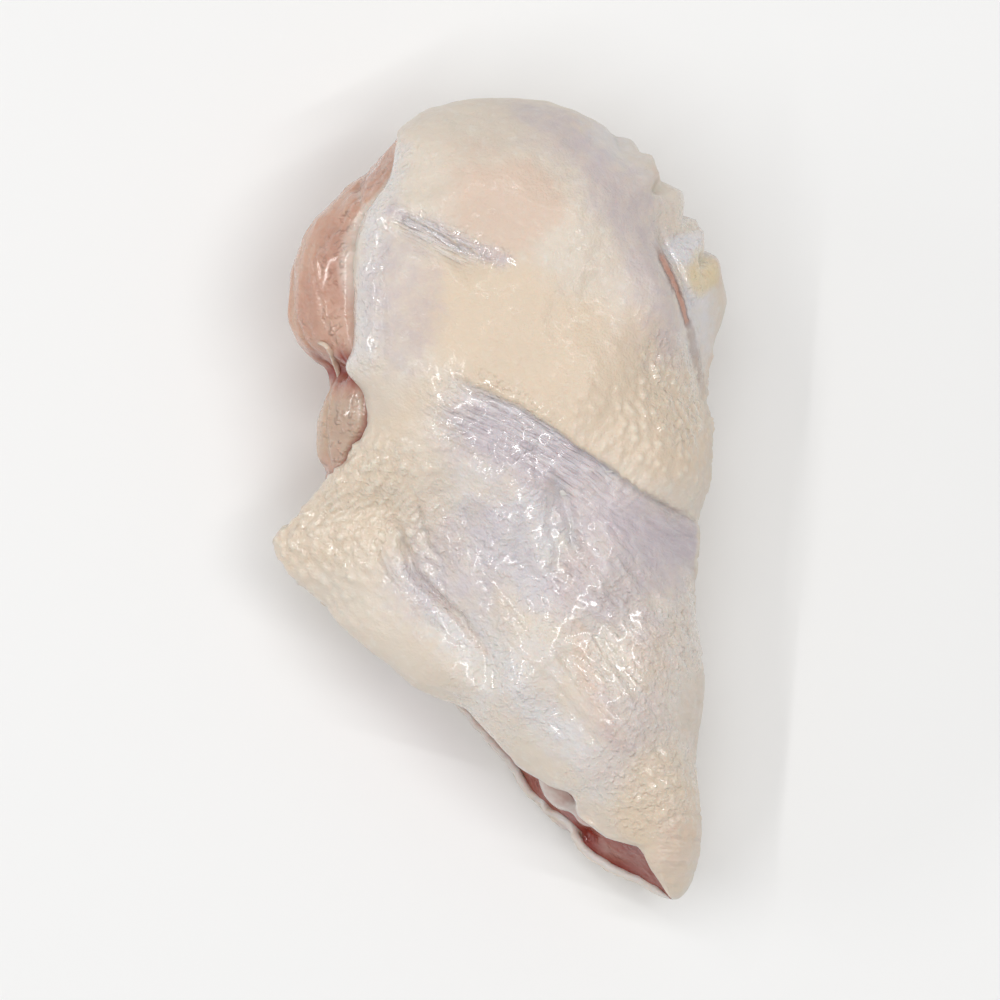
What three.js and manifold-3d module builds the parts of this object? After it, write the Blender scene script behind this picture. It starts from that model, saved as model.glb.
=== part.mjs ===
// A raw chicken drumette: the upper joint of the wing, lying on its inner side with its outer side up.
// It is one solid. A loft of cross sections runs along Y, from the elbow tip to the shoulder end, and a
// cartilage knob is fused into its elbow cut. Along the left side the skin is cut open from end to end:
// at the shoulder the muscle swells out of the cut, at the elbow it lies back in a hollow whose lower
// edge reaches further out, and between them a web of skin sticks out to the left as a flap.
//
// Millimetres. +Z is up, +Y runs to the shoulder, +X to the smooth right side.
// The origin is on the table, under the middle of the part's box.
import * as THREE from 'three';
import { mergeVertices } from 'three/addons/utils/BufferGeometryUtils.js';
import Module from 'manifold-3d';

// ---- driving sizes ----
const SHOULDER_Y = 48.9; // the far end of the thick shoulder
const ELBOW_Y = -48.9; // the tip of the skin at the elbow
const SHOULDER_END = { x: 0, z: 14 }; // where the sections close at the shoulder
const ELBOW_END = { x: 22.4, z: 8 }; // where they close at the elbow
const SKIN = 1.2; // thickness of the skin at its cut edge
const LIP_INSET = 0.9; // how far the meat lies back under that edge
const ALONG = 88; // sections along the part
const AROUND = { wall: 14, topLeft: 13, topRight: 12, bottomRight: 11, bottomLeft: 11 };

// ---- outlines: lists of [y, value], from the shoulder end to the elbow tip ----
// Left edge of the outer skin, as seen from above: over the meat, in at the waist, out to the flap's
// corner, then back along the elbow cut, which is ragged close to the tip.
const UPPER_LIP_X = [
  [48.9, 0], [48.2, -6], [46.4, -10.4], [43.6, -12.6], [40.6, -12.6], [37.4, -13.8], [33.5, -16.6],
  [28, -17.9], [19, -18], [13, -16.4], [9.2, -16], [5.2, -18], [1.8, -21.2], [-1.6, -24.4],
  [-4.9, -27.5], [-8.6, -25.4], [-12.4, -21.8], [-15.2, -19], [-19.2, -14.2], [-22.6, -9.8],
  [-24.9, -5.2], [-27.4, -2.4], [-31.5, 1.7], [-34.6, 5.6], [-35.6, 8.6], [-39.3, 10.8],
  [-41.2, 13.2], [-42.2, 17.2], [-44.4, 18.6], [-47.2, 20.6], [-48.9, 22.4],
];
const UPPER_LIP_Z = [
  [48.9, 14], [46, 18], [42, 21], [36, 22.4], [24, 22.8], [14, 21.6], [8, 19.4], [2, 15.4], [-4.9, 10.4],
  [-10, 11.2], [-18, 13.6], [-26, 15], [-34, 14.6], [-40, 13.4], [-44.4, 12], [-47.4, 10], [-48.9, 8],
];
// The edge of the skin that wraps round from below.
const LOWER_LIP_X = [
  [48.9, 0], [46, -7], [42, -9.5], [36, -13], [26, -15.5], [16, -14], [8, -13], [1, -19], [-4.9, -26.9],
  [-9, -24.4], [-16, -16.4], [-24, -4.8], [-32, 1.8], [-38, 6.4], [-42.4, 10.4], [-45.4, 14.4],
  [-47.4, 18.6], [-48.9, 22.4],
];
const LOWER_LIP_Z = [
  [48.9, 14], [46, 10], [42, 6.5], [36, 4.5], [26, 3.8], [16, 4.6], [8, 7], [2, 7.8], [-4.9, 7.4],
  [-10, 6.6], [-18, 4.6], [-28, 3.6], [-36, 3.6], [-43, 4.6], [-47.4, 6], [-48.9, 8],
];
// How far left the muscle reaches: a long swelling at the shoulder, a small one below the waist, and
// then behind the skin's edge.
const MUSCLE_REACH_X = [
  [48.9, 0], [46, -6], [44, -11], [42.4, -12.9], [40, -15.4], [37, -18.6], [33.3, -22.4], [30, -24.4],
  [26.8, -25.4], [23, -25.4], [19.4, -24], [17.2, -22], [15.4, -20.4], [13.6, -20.2], [11.6, -21.2],
  [8.5, -22.1], [5.4, -21.8], [3, -20.4], [0, -20.6], [-5, -24.6], [-10, -21.8], [-16, -14.8],
  [-24, -2.4], [-30, 3], [-34, 6.4], [-38, 10.4], [-41.5, 15], [-44.4, 18.6], [-47.2, 21], [-48.9, 22.4],
];
// The cleft in the muscle's upper half at the waist, between the two swellings.
const CLEFT = { y: 15.4, width: 1.7, depth: 2.4 };
// The right side, the line of the highest points, and the belly.
const RIGHT_X = [
  [48.9, 0], [48.5, 6], [46.5, 11.2], [43.6, 15.4], [40.3, 18.4], [37, 20.6], [33.6, 23.2], [28.6, 26.2],
  [23.9, 27.5], [17, 26.2], [12.4, 25.4], [8.8, 26], [2.4, 26], [-2.4, 24.4], [-8.8, 24.4],
  [-25.4, 25], [-36, 25], [-42, 24.7], [-46.4, 24], [-48.9, 22.4],
];
const RIGHT_Z = [[48.9, 14], [38, 14.4], [20, 13.6], [0, 12.6], [-20, 11.2], [-36, 9.8], [-48.9, 8]];
const CREST_X = [[48.9, 0], [36, 1.5], [20, 3], [4, 5], [-10, 8.5], [-24, 13], [-36, 17.6], [-48.9, 22.4]];
const CREST_Z = [
  [48.9, 14], [47, 21.6], [44, 26], [40, 28.8], [34, 30], [14, 30], [6, 29], [-2, 27.2], [-12, 25.6],
  [-22, 24], [-30, 22], [-38, 19], [-43, 16.4], [-46.6, 13.4], [-48.9, 8],
];
const BELLY_Z = [
  [48.9, 14], [47.4, 8.4], [44.6, 3.8], [40.6, 0.9], [34, -0.8], [24, -1], [12, -0.5], [2, 0.3], [-8, -0.2],
  [-18, -0.9], [-28, -0.9], [-36, 0.2], [-43, 1.8], [-46.8, 3.8], [-48.9, 8],
];
// Power of the curve from the highest line down to the left edge: 2.3 is round, 1.2 a slack web.
const LEFT_ROUND = [[48.9, 2.3], [18, 2.5], [8, 1.9], [-2, 1.35], [-12, 1.4], [-24, 2], [-48.9, 2.2]];
const RIGHT_ROUND = 2.35;

// ---- folds in the outer skin, as lines seen from above, [x, y] ----
// The edge of the thick pimpled skin, which laps over the thin skin below it.
const MAIN_FOLD = [
  [-8.8, 15.8], [-4.9, 13.4], [1.3, 10.6], [6.8, 7.4], [11.5, 4.6], [15.2, 1.7], [19.9, -0.7], [25.5, -3],
];
// A short crease high on the shoulder, where the skin was pressed flat.
const SHOULDER_CREASE = [[-13.5, 34], [-10.3, 32.4], [-7, 30.5], [-3.8, 28.9], [-0.9, 27.8]];
// The slit along the right side, with a lower fold of skin and fat outside it.
const SIDE_SLIT = [[16.6, 36.5], [18, 31], [20.6, 25], [22.6, 20], [24.2, 15.4], [25.6, 11]];
// The dip between the flap and the body, and a softer one under the main fold.
const FLAP_DIP = [[-14, -1], [-12, -5.6], [-9.8, -9.6], [-6.4, -13.4], [-3.4, -17.6], [-1.6, -21]];
const BODY_DIP = [[3.6, 5], [5.4, 0.6], [6.8, -4.4], [6.4, -9]];
const FAT_LUMP = { x: 24.6, y: 27.2, radius: 3.4, height: 1.5 };

// ---- folds underneath ----
// The hollow between the two muscles that the part rests on, and a fold across the skin at the waist.
const UNDER_HOLLOW = [[-1, 38], [1.5, 26], [4.5, 12], [7, -4], [11, -18], [15.5, -32]];
const UNDER_FOLD = [[-19, 1], [-13, 5.6], [-6, 7.2], [2, 4.4], [8, 4.8]];

// The cartilage knob in the elbow cut: an ellipsoid, turned to face out of the cut.
const KNOB = { x: 11.2, y: -34.8, z: 8.8, long: 6.4, wide: 4.6, high: 4.1, turn: -0.62 };

// ---- curves ----
// Sections are evenly spaced in t, from 0 at the shoulder to 1 at the elbow, and bunch up towards both
// ends in y. So a size that grows evenly in t next to an end makes that end round.
const yAt = (t) => THREE.MathUtils.lerp(ELBOW_Y, SHOULDER_Y, (1 + Math.cos(Math.PI * t)) / 2);
const tAt = (y) =>
  Math.acos(THREE.MathUtils.clamp((2 * (y - ELBOW_Y)) / (SHOULDER_Y - ELBOW_Y) - 1, -1, 1)) / Math.PI;

// A smooth curve through [y, value] points that never swings past them (monotone cubic, in t).
function profile(points) {
  const t = points.map(([y]) => tAt(y));
  const v = points.map(([, value]) => value);
  const slope = [];
  for (let i = 0; i < t.length - 1; i++) slope.push((v[i + 1] - v[i]) / (t[i + 1] - t[i]));
  const tangent = v.map((_, i) => {
    if (i === 0) return slope[0];
    if (i === v.length - 1) return slope[i - 1];
    const [a, b] = [slope[i - 1], slope[i]];
    return a * b <= 0 ? 0 : (2 * a * b) / (a + b);
  });
  return (at) => {
    let i = 0;
    while (i < t.length - 2 && at > t[i + 1]) i++;
    const width = t[i + 1] - t[i];
    const s = THREE.MathUtils.clamp((at - t[i]) / width, 0, 1);
    const [s2, s3] = [s * s, s * s * s];
    return (
      (2 * s3 - 3 * s2 + 1) * v[i] + (s3 - 2 * s2 + s) * width * tangent[i] +
      (3 * s2 - 2 * s3) * v[i + 1] + (s3 - s2) * width * tangent[i + 1]
    );
  };
}

const section = {
  upperLipX: profile(UPPER_LIP_X),
  upperLipZ: profile(UPPER_LIP_Z),
  lowerLipX: profile(LOWER_LIP_X),
  lowerLipZ: profile(LOWER_LIP_Z),
  reachX: profile(MUSCLE_REACH_X),
  rightX: profile(RIGHT_X),
  rightZ: profile(RIGHT_Z),
  crestX: profile(CREST_X),
  crestZ: profile(CREST_Z),
  bellyZ: profile(BELLY_Z),
  leftRound: profile(LEFT_ROUND),
};

const smooth = (from, to, value) => THREE.MathUtils.smoothstep(value, from, to);
const bump = (distance, width) => Math.exp(-((distance / width) ** 2));

// Distance from (x, y) to a line of points, signed (+ on its left as it runs), with how far along it is (0 to 1).
function alongLine(line, x, y) {
  let best = { distance: Infinity, side: 1, along: 0 };
  for (let i = 0; i < line.length - 1; i++) {
    const [[ax, ay], [bx, by]] = [line[i], line[i + 1]];
    const [dx, dy] = [bx - ax, by - ay];
    const s = THREE.MathUtils.clamp(((x - ax) * dx + (y - ay) * dy) / (dx * dx + dy * dy), 0, 1);
    const distance = Math.hypot(x - ax - s * dx, y - ay - s * dy);
    if (distance < best.distance) {
      const side = dx * (y - ay) - dy * (x - ax) >= 0 ? 1 : -1;
      best = { distance, side, along: (i + s) / (line.length - 1) };
    }
  }
  return best;
}

// ---- relief ----
// Height added to the outer side of the skin at (x, y).
function skinRelief(x, y) {
  const fold = alongLine(MAIN_FOLD, x, y);
  const foldFade = smooth(0, 0.25, fold.along);
  const lap = THREE.MathUtils.lerp(
    -0.9 * bump(fold.distance, 6), 0.9 * bump(fold.distance, 7), smooth(-0.9, 0.9, fold.side * fold.distance),
  ) * (0.45 + 0.55 * smooth(0.35, 0.75, fold.along));
  const crease = alongLine(SHOULDER_CREASE, x, y);
  const creaseFade = smooth(0, 0.15, crease.along) * (1 - smooth(0.7, 1, crease.along));
  const creaseStep = (crease.side > 0 ? -0.2 : -0.9) * bump(crease.distance, 2.4);
  const slit = alongLine(SIDE_SLIT, x, y);
  const slitFade = smooth(0, 0.3, slit.along) * (1 - smooth(0.75, 1, slit.along));
  const outside = slit.side > 0 ? -2.6 * smooth(0, 1.6, slit.distance) : 0;
  const slitGroove = -2 * bump(slit.distance, 1.3);
  const flapDip = alongLine(FLAP_DIP, x, y);
  const bodyDip = alongLine(BODY_DIP, x, y);
  const fat = Math.hypot(x - FAT_LUMP.x, y - FAT_LUMP.y);
  return (
    foldFade * lap + creaseFade * creaseStep + slitFade * (outside + slitGroove) -
    1.5 * bump(flapDip.distance, 2.6) - 0.9 * bump(bodyDip.distance, 3) +
    FAT_LUMP.height * bump(fat, FAT_LUMP.radius)
  );
}

// Height taken up into the underside at (x, y).
function underRelief(x, y) {
  const hollow = alongLine(UNDER_HOLLOW, x, y);
  const fold = alongLine(UNDER_FOLD, x, y);
  const foldFade = smooth(0, 0.2, fold.along) * (1 - smooth(0.7, 1, fold.along));
  return 2 * bump(hollow.distance, 4) + 1.4 * foldFade * bump(fold.distance, 2.4);
}

// Slow unevenness of the whole form, and the grooves between the muscle's bundles.
const unevenness = (x, y, z) =>
  0.45 * Math.sin(0.21 * x + 0.17 * y + 0.9) * Math.sin(0.19 * y - 0.23 * z + 2.1) +
  0.3 * Math.sin(0.42 * x - 0.31 * y + 0.27 * z + 0.4);
const bundles = (y, z) => 0.5 * Math.sin(0.62 * z + 0.24 * y + 0.8) + 0.35 * Math.sin(0.35 * y - 0.3 * z);

// ---- one point of a cross section ----
const part = (i, from, count) => (i - from) / count;

// The open side: w runs from the lower edge of the skin (0) to the upper one (1).
function wallPoint(s, y, w) {
  const height = s.upperLipZ - s.lowerLipZ;
  const skin = Math.min(SKIN, height * 0.3);
  const inner = THREE.MathUtils.clamp((w * AROUND.wall - 1) / (AROUND.wall - 2), 0, 1); // between the two lips
  const bare = w > 0 && w < 1;
  const x = THREE.MathUtils.lerp(s.lowerLipX, s.upperLipX, w);
  if (!bare) return new THREE.Vector2(x, THREE.MathUtils.lerp(s.lowerLipZ, s.upperLipZ, w));
  const z = THREE.MathUtils.lerp(s.lowerLipZ + skin, s.upperLipZ - skin, inner);
  const arc = Math.sin(Math.PI * inner) ** 0.55;
  const open = smooth(0.5, 4, height);
  const middleX = (s.lowerLipX + s.upperLipX) / 2 + LIP_INSET;
  const cleft = CLEFT.depth * bump(y - CLEFT.y, CLEFT.width) * smooth(0.5, 0.75, inner);
  const swell = (middleX - s.reachX + 0.5 * bundles(y, z) - cleft) * arc;
  return new THREE.Vector2(x + open * ((inner > 0 && inner < 1 ? LIP_INSET : 0.2) - swell), z);
}

// A quarter of the skin: from the lip or the right side to the highest or lowest line.
function quarter(sideX, sideZ, middleX, middleZ, power, along) {
  const across = Math.cos((Math.PI / 2) * along); // 1 at the side, 0 at the middle
  const rise = Math.pow(Math.max(0, 1 - across ** power), 1 / power);
  return new THREE.Vector2(
    THREE.MathUtils.lerp(middleX, sideX, across),
    THREE.MathUtils.lerp(sideZ, middleZ, rise),
  );
}

// Point i of the ring at t: the wall's upper half, the outer side, the underside, the wall's lower half.
function ringPoint(t, i) {
  const s = Object.fromEntries(Object.entries(section).map(([name, at]) => [name, at(t)]));
  const y = yAt(t);
  const half = AROUND.wall / 2;
  const crest = half + AROUND.topLeft;
  const right = crest + AROUND.topRight;
  const belly = right + AROUND.bottomRight;
  const lip = belly + AROUND.bottomLeft;
  let p;
  if (i <= half) {
    p = wallPoint(s, y, 0.5 + part(i, 0, AROUND.wall));
  } else if (i <= crest) {
    p = quarter(s.upperLipX, s.upperLipZ, s.crestX, s.crestZ, s.leftRound, part(i, half, AROUND.topLeft));
  } else if (i <= right) {
    p = quarter(s.rightX, s.rightZ, s.crestX, s.crestZ, RIGHT_ROUND, 1 - part(i, crest, AROUND.topRight));
  } else if (i <= belly) {
    p = quarter(s.rightX, s.rightZ, s.crestX, s.bellyZ, RIGHT_ROUND, part(i, right, AROUND.bottomRight));
  } else if (i <= lip) {
    p = quarter(s.lowerLipX, s.lowerLipZ, s.crestX, s.bellyZ, 2.2, 1 - part(i, belly, AROUND.bottomLeft));
  } else {
    p = wallPoint(s, y, part(i, lip, AROUND.wall));
  }
  const middleZ = (s.crestZ + s.bellyZ) / 2;
  const thick = smooth(0, 12, s.crestZ - s.bellyZ);
  const upper = i > half && i < right ? smooth(0, 0.45, (p.y - s.rightZ) / (s.crestZ - s.rightZ + 1e-6)) : 0;
  const outward = new THREE.Vector2(p.x - s.crestX, (p.y - middleZ) * 1.4).normalize();
  const uneven = unevenness(p.x, y, p.y) * thick;
  const lower = i > right && i < lip ? smooth(0, 0.7, (s.rightZ - p.y) / (s.rightZ - s.bellyZ + 1e-6)) : 0;
  const relief = thick * (upper * skinRelief(p.x, y) + lower * underRelief(p.x, y));
  return new THREE.Vector3(p.x + uneven * outward.x, y, Math.max(0, p.y + uneven * outward.y + relief));
}

// ---- solids ----
// A sphere whose rows become the cross sections: its north pole is the shoulder end, its seam the cut side.
function bodyGeometry() {
  const around = Object.values(AROUND).reduce((sum, count) => sum + count, 0);
  const geometry = new THREE.SphereGeometry(1, around, ALONG);
  const position = geometry.getAttribute('position');
  for (let row = 0; row <= ALONG; row++) {
    for (let i = 0; i <= around; i++) {
      const index = row * (around + 1) + i;
      if (row === 0) position.setXYZ(index, SHOULDER_END.x, SHOULDER_Y, SHOULDER_END.z);
      else if (row === ALONG) position.setXYZ(index, ELBOW_END.x, ELBOW_Y, ELBOW_END.z);
      else position.setXYZ(index, ...ringPoint(row / ALONG, i % around).toArray());
    }
  }
  return geometry;
}

function knobGeometry() {
  const geometry = new THREE.SphereGeometry(1, 20, 14);
  geometry.scale(KNOB.long, KNOB.wide, KNOB.high);
  geometry.rotateZ(KNOB.turn);
  geometry.translate(KNOB.x, KNOB.y, KNOB.z);
  return geometry;
}

// ---- joining ----
const wasm = await Module();
wasm.setup();

function solidOf(geometry) {
  const bare = geometry.clone();
  bare.deleteAttribute('normal');
  bare.deleteAttribute('uv');
  const merged = mergeVertices(bare, 1e-4);
  return new wasm.Manifold(
    new wasm.Mesh({
      numProp: 3,
      vertProperties: merged.getAttribute('position').array,
      triVerts: new Uint32Array(merged.index.array),
    }),
  );
}

function geometryOf(solid) {
  const mesh = solid.getMesh();
  const geometry = new THREE.BufferGeometry();
  geometry.setAttribute('position', new THREE.BufferAttribute(mesh.vertProperties, 3));
  geometry.setIndex(new THREE.BufferAttribute(mesh.triVerts, 1));
  geometry.computeVertexNormals();
  return geometry;
}

const geometry = geometryOf(solidOf(bodyGeometry()).add(solidOf(knobGeometry())));
geometry.computeBoundingBox();
const middle = geometry.boundingBox.getCenter(new THREE.Vector3());
geometry.translate(-middle.x, -middle.y, -geometry.boundingBox.min.z);

const skin = new THREE.MeshStandardMaterial({ color: 0xe3d3bd, roughness: 0.38, metalness: 0 });
const drumette = new THREE.Mesh(geometry, skin);
drumette.name = 'drumette';

const group = new THREE.Group();
group.add(drumette);

export default group;
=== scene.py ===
"""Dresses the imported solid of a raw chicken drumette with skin, muscle, a strand and cartilage.

The drumette lies on its inner side. Its form is a row of cross sections along Y, from the shoulder to
the elbow, worked out from the same named sizes as the solid, in millimetres. Each section is a C of skin
that is open on the left, where the muscle shows between the skin's two cut edges.
"""

from __future__ import annotations

import logging
import math
from dataclasses import dataclass, field
from enum import Enum, IntEnum

import bpy
import numpy as np
from mathutils import Matrix, Vector

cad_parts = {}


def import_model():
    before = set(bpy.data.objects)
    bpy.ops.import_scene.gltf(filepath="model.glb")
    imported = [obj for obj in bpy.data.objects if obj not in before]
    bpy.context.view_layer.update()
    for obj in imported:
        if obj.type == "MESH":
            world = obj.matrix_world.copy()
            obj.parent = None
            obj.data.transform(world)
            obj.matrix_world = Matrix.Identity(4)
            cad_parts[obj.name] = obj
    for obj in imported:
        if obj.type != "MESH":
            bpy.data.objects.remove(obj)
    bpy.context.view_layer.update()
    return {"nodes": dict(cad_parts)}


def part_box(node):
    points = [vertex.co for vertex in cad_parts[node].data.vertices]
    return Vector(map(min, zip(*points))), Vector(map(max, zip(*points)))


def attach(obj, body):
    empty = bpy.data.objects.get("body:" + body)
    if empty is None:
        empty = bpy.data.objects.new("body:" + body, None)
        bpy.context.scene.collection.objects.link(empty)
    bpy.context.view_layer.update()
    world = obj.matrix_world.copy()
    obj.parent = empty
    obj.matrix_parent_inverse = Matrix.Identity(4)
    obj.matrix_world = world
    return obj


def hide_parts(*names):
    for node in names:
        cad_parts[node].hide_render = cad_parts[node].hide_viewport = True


LOG = logging.getLogger("drumette")
MM = 0.001
TINY = 1e-9
BODY = "root"
NODE = "drumette"

Points = list[tuple[float, float]]
Pair = tuple[float, float]
Triple = tuple[float, float, float]


class Seed(IntEnum):
    """Which pattern each use of noise draws, so that every run draws the same ones."""

    PIMPLE_AROUND = 5
    PIMPLE_ALONG = 6
    PIMPLE_HEIGHT = 7
    PIMPLE_WIDTH = 8
    PATCH_EDGE = 11
    CLOUD = 21
    UNDER_PINK = 25
    UNDER_WHITE = 27
    UNDER_GLITTER = 29
    WANDER = 31
    TEXTURE_EDGE = 33
    BY_FOLD = 43
    SLANTING = 45
    LENGTHWISE = 47
    LEVEL = 51
    BY_CREASE = 53
    GATHERING = 57
    BESIDE_MUSCLE = 59
    SOFT = 61
    PIMPLE_WARP = 71
    PUCKER = 81
    EDGE = 91
    TEAR = 95
    LIFT = 97
    CRINKLE = 101
    UNDER_CREASE = 103
    UNDER_CREASED = 105
    GROOVE = 201
    GRAIN_BEND = 203
    MUSCLE_STRAND = 205
    MUSCLE_TEAR = 207
    # Noise of the dark red towards the elbow, partly painted shade.
    ELBOW_BLOOD = 209
    FIBRE = 211
    FLUSH = 213
    MUSCLE_WET = 215
    GAP = 217
    KNOB = 301
    STRAND = 401


# ---------------------------------------------------------------- small maths


def smooth(low: float, high: float, value: np.ndarray) -> np.ndarray:
    """Rise smoothly from 0 at low to 1 at high.

    Args:
        low: Value where the rise starts.
        high: Value where it ends.
        value: Values to map.

    Returns:
        The mapped values, from 0 to 1.
    """
    share = np.clip((value - low) / (high - low), 0.0, 1.0)
    return share * share * (3.0 - 2.0 * share)


def bump(distance: np.ndarray, width: float) -> np.ndarray:
    """A bell of height 1 that falls to 1/e at width."""
    return np.exp(-((distance / width) ** 2))


def between(value: np.ndarray, low: float, full: float, fading: float, high: float) -> np.ndarray:
    """1 in the middle of a stretch: it rises from low to full and falls from fading to high."""
    return smooth(low, full, value) * (1.0 - smooth(fading, high, value))


def points_of(x: np.ndarray, y: np.ndarray, z: np.ndarray) -> np.ndarray:
    """Coordinates as points, with x, y, z on the last axis."""
    return np.stack([x, y, z], axis=-1)


def unit(vectors: np.ndarray) -> np.ndarray:
    """Vectors at length 1."""
    return vectors / (np.linalg.norm(vectors, axis=-1, keepdims=True) + TINY)


def hashed(*cells: np.ndarray, seed: int) -> np.ndarray:
    """Give each lattice cell a fixed random number.

    Args:
        cells: Integer cell numbers, one array for each axis.
        seed: Picks another set of numbers.

    Returns:
        A number from 0 to 1 for each cell.
    """
    mixed = np.full(cells[0].shape, (seed * 2654435761) & 0xFFFFFFFF, np.uint32)
    for factor, cell in zip((374761393, 668265263, 2147483647), cells):
        mixed = mixed ^ (cell.astype(np.int64).astype(np.uint32) * np.uint32(factor))
        mixed = (mixed ^ (mixed >> np.uint32(13))) * np.uint32(1274126177)
    mixed = mixed ^ (mixed >> np.uint32(16))
    return mixed.astype(np.float64) / 4294967295.0


def noise(points: np.ndarray, size: float, seed: int) -> np.ndarray:
    """Smooth lattice noise in space.

    Args:
        points: Points, with x, y, z on the last axis.
        size: Size of a lattice cell in the points' unit.
        seed: Picks another pattern.

    Returns:
        Noise from -1 to 1 for each point.
    """
    scaled = points / size
    cell = np.floor(scaled).astype(np.int64)
    part = scaled - cell
    part = part * part * (3.0 - 2.0 * part)
    total = np.zeros(points.shape[:-1])
    for corner in range(8):
        offset = [(corner >> axis) & 1 for axis in range(3)]
        weight = np.ones(points.shape[:-1])
        for axis in range(3):
            weight = weight * (part[..., axis] if offset[axis] else 1.0 - part[..., axis])
        total += weight * hashed(*(cell[..., axis] + offset[axis] for axis in range(3)), seed=seed)
    return 2.0 * total - 1.0


def layered_noise(points: np.ndarray, size: float, seed: int, layers: int = 3) -> np.ndarray:
    """Noise in layers, each half as large and half as strong as the last.

    Args:
        points: Points, with x, y, z on the last axis.
        size: Size of the largest layer's cells.
        seed: Picks another pattern.
        layers: Number of layers.

    Returns:
        Noise of about -1 to 1 for each point.
    """
    total = np.zeros(points.shape[:-1])
    for layer in range(layers):
        total += noise(points, size / 2**layer, seed + layer) / 2**layer
    return total


# ---------------------------------------------------------------- curves of the form


@dataclass(frozen=True)
class Span:
    """The part's length, and how stations along it map to Y."""

    shoulder: float = 48.9
    elbow: float = -48.9

    def y_at(self, t: np.ndarray) -> np.ndarray:
        """Y of station t, which is 0 at the shoulder and 1 at the elbow."""
        return self.elbow + (self.shoulder - self.elbow) * (1.0 + np.cos(np.pi * t)) / 2.0

    def t_at(self, y: np.ndarray) -> np.ndarray:
        """Station of a Y."""
        share = np.clip(2.0 * (y - self.elbow) / (self.shoulder - self.elbow) - 1.0, -1.0, 1.0)
        return np.arccos(share) / np.pi


SPAN = Span()


@dataclass(frozen=True)
class Profile:
    """A smooth curve through [y, value] points that never swings past them."""

    points: Points

    def at(self, t: np.ndarray) -> np.ndarray:
        """Value at stations t (monotone cubic in t).

        Args:
            t: Stations, from 0 to 1.

        Returns:
            The value at each station.
        """
        knots = SPAN.t_at(np.array([y for y, _ in self.points]))
        values = np.array([value for _, value in self.points])
        slopes = np.diff(values) / np.diff(knots)
        before, after = slopes[:-1], slopes[1:]
        turning = before * after <= 0.0
        mean = 2.0 * before * after / np.where(turning, 1.0, before + after)
        tangents = np.concatenate([slopes[:1], np.where(turning, 0.0, mean), slopes[-1:]])
        i = np.clip(np.searchsorted(knots, t, side="left") - 1, 0, len(knots) - 2)
        width = knots[i + 1] - knots[i]
        s = np.clip((t - knots[i]) / width, 0.0, 1.0)
        s2, s3 = s * s, s * s * s
        return (
            (2 * s3 - 3 * s2 + 1) * values[i]
            + (s3 - 2 * s2 + s) * width * tangents[i]
            + (3 * s2 - 2 * s3) * values[i + 1]
            + (s3 - s2) * width * tangents[i + 1]
        )


@dataclass(frozen=True)
class Line:
    """A line of points seen from above, such as a fold in the skin."""

    points: Points

    def near(self, x: np.ndarray, y: np.ndarray) -> tuple[np.ndarray, np.ndarray]:
        """Measure points against the line.

        Args:
            x: X of the points.
            y: Y of the points.

        Returns:
            The signed distance (+ on the line's left as it runs) and how far along the line the nearest
            place is, from 0 to 1.
        """
        best = np.full(x.shape, np.inf)
        side = np.ones(x.shape)
        along = np.zeros(x.shape)
        for i, ((ax, ay), (bx, by)) in enumerate(zip(self.points, self.points[1:])):
            dx, dy = bx - ax, by - ay
            s = np.clip(((x - ax) * dx + (y - ay) * dy) / (dx * dx + dy * dy), 0.0, 1.0)
            distance = np.hypot(x - ax - s * dx, y - ay - s * dy)
            nearer = distance < best
            best = np.where(nearer, distance, best)
            side = np.where(nearer, np.where(dx * (y - ay) - dy * (x - ax) >= 0, 1.0, -1.0), side)
            along = np.where(nearer, (i + s) / (len(self.points) - 1), along)
        return best * side, along


# ---------------------------------------------------------------- the form, as the solid has it


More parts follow.
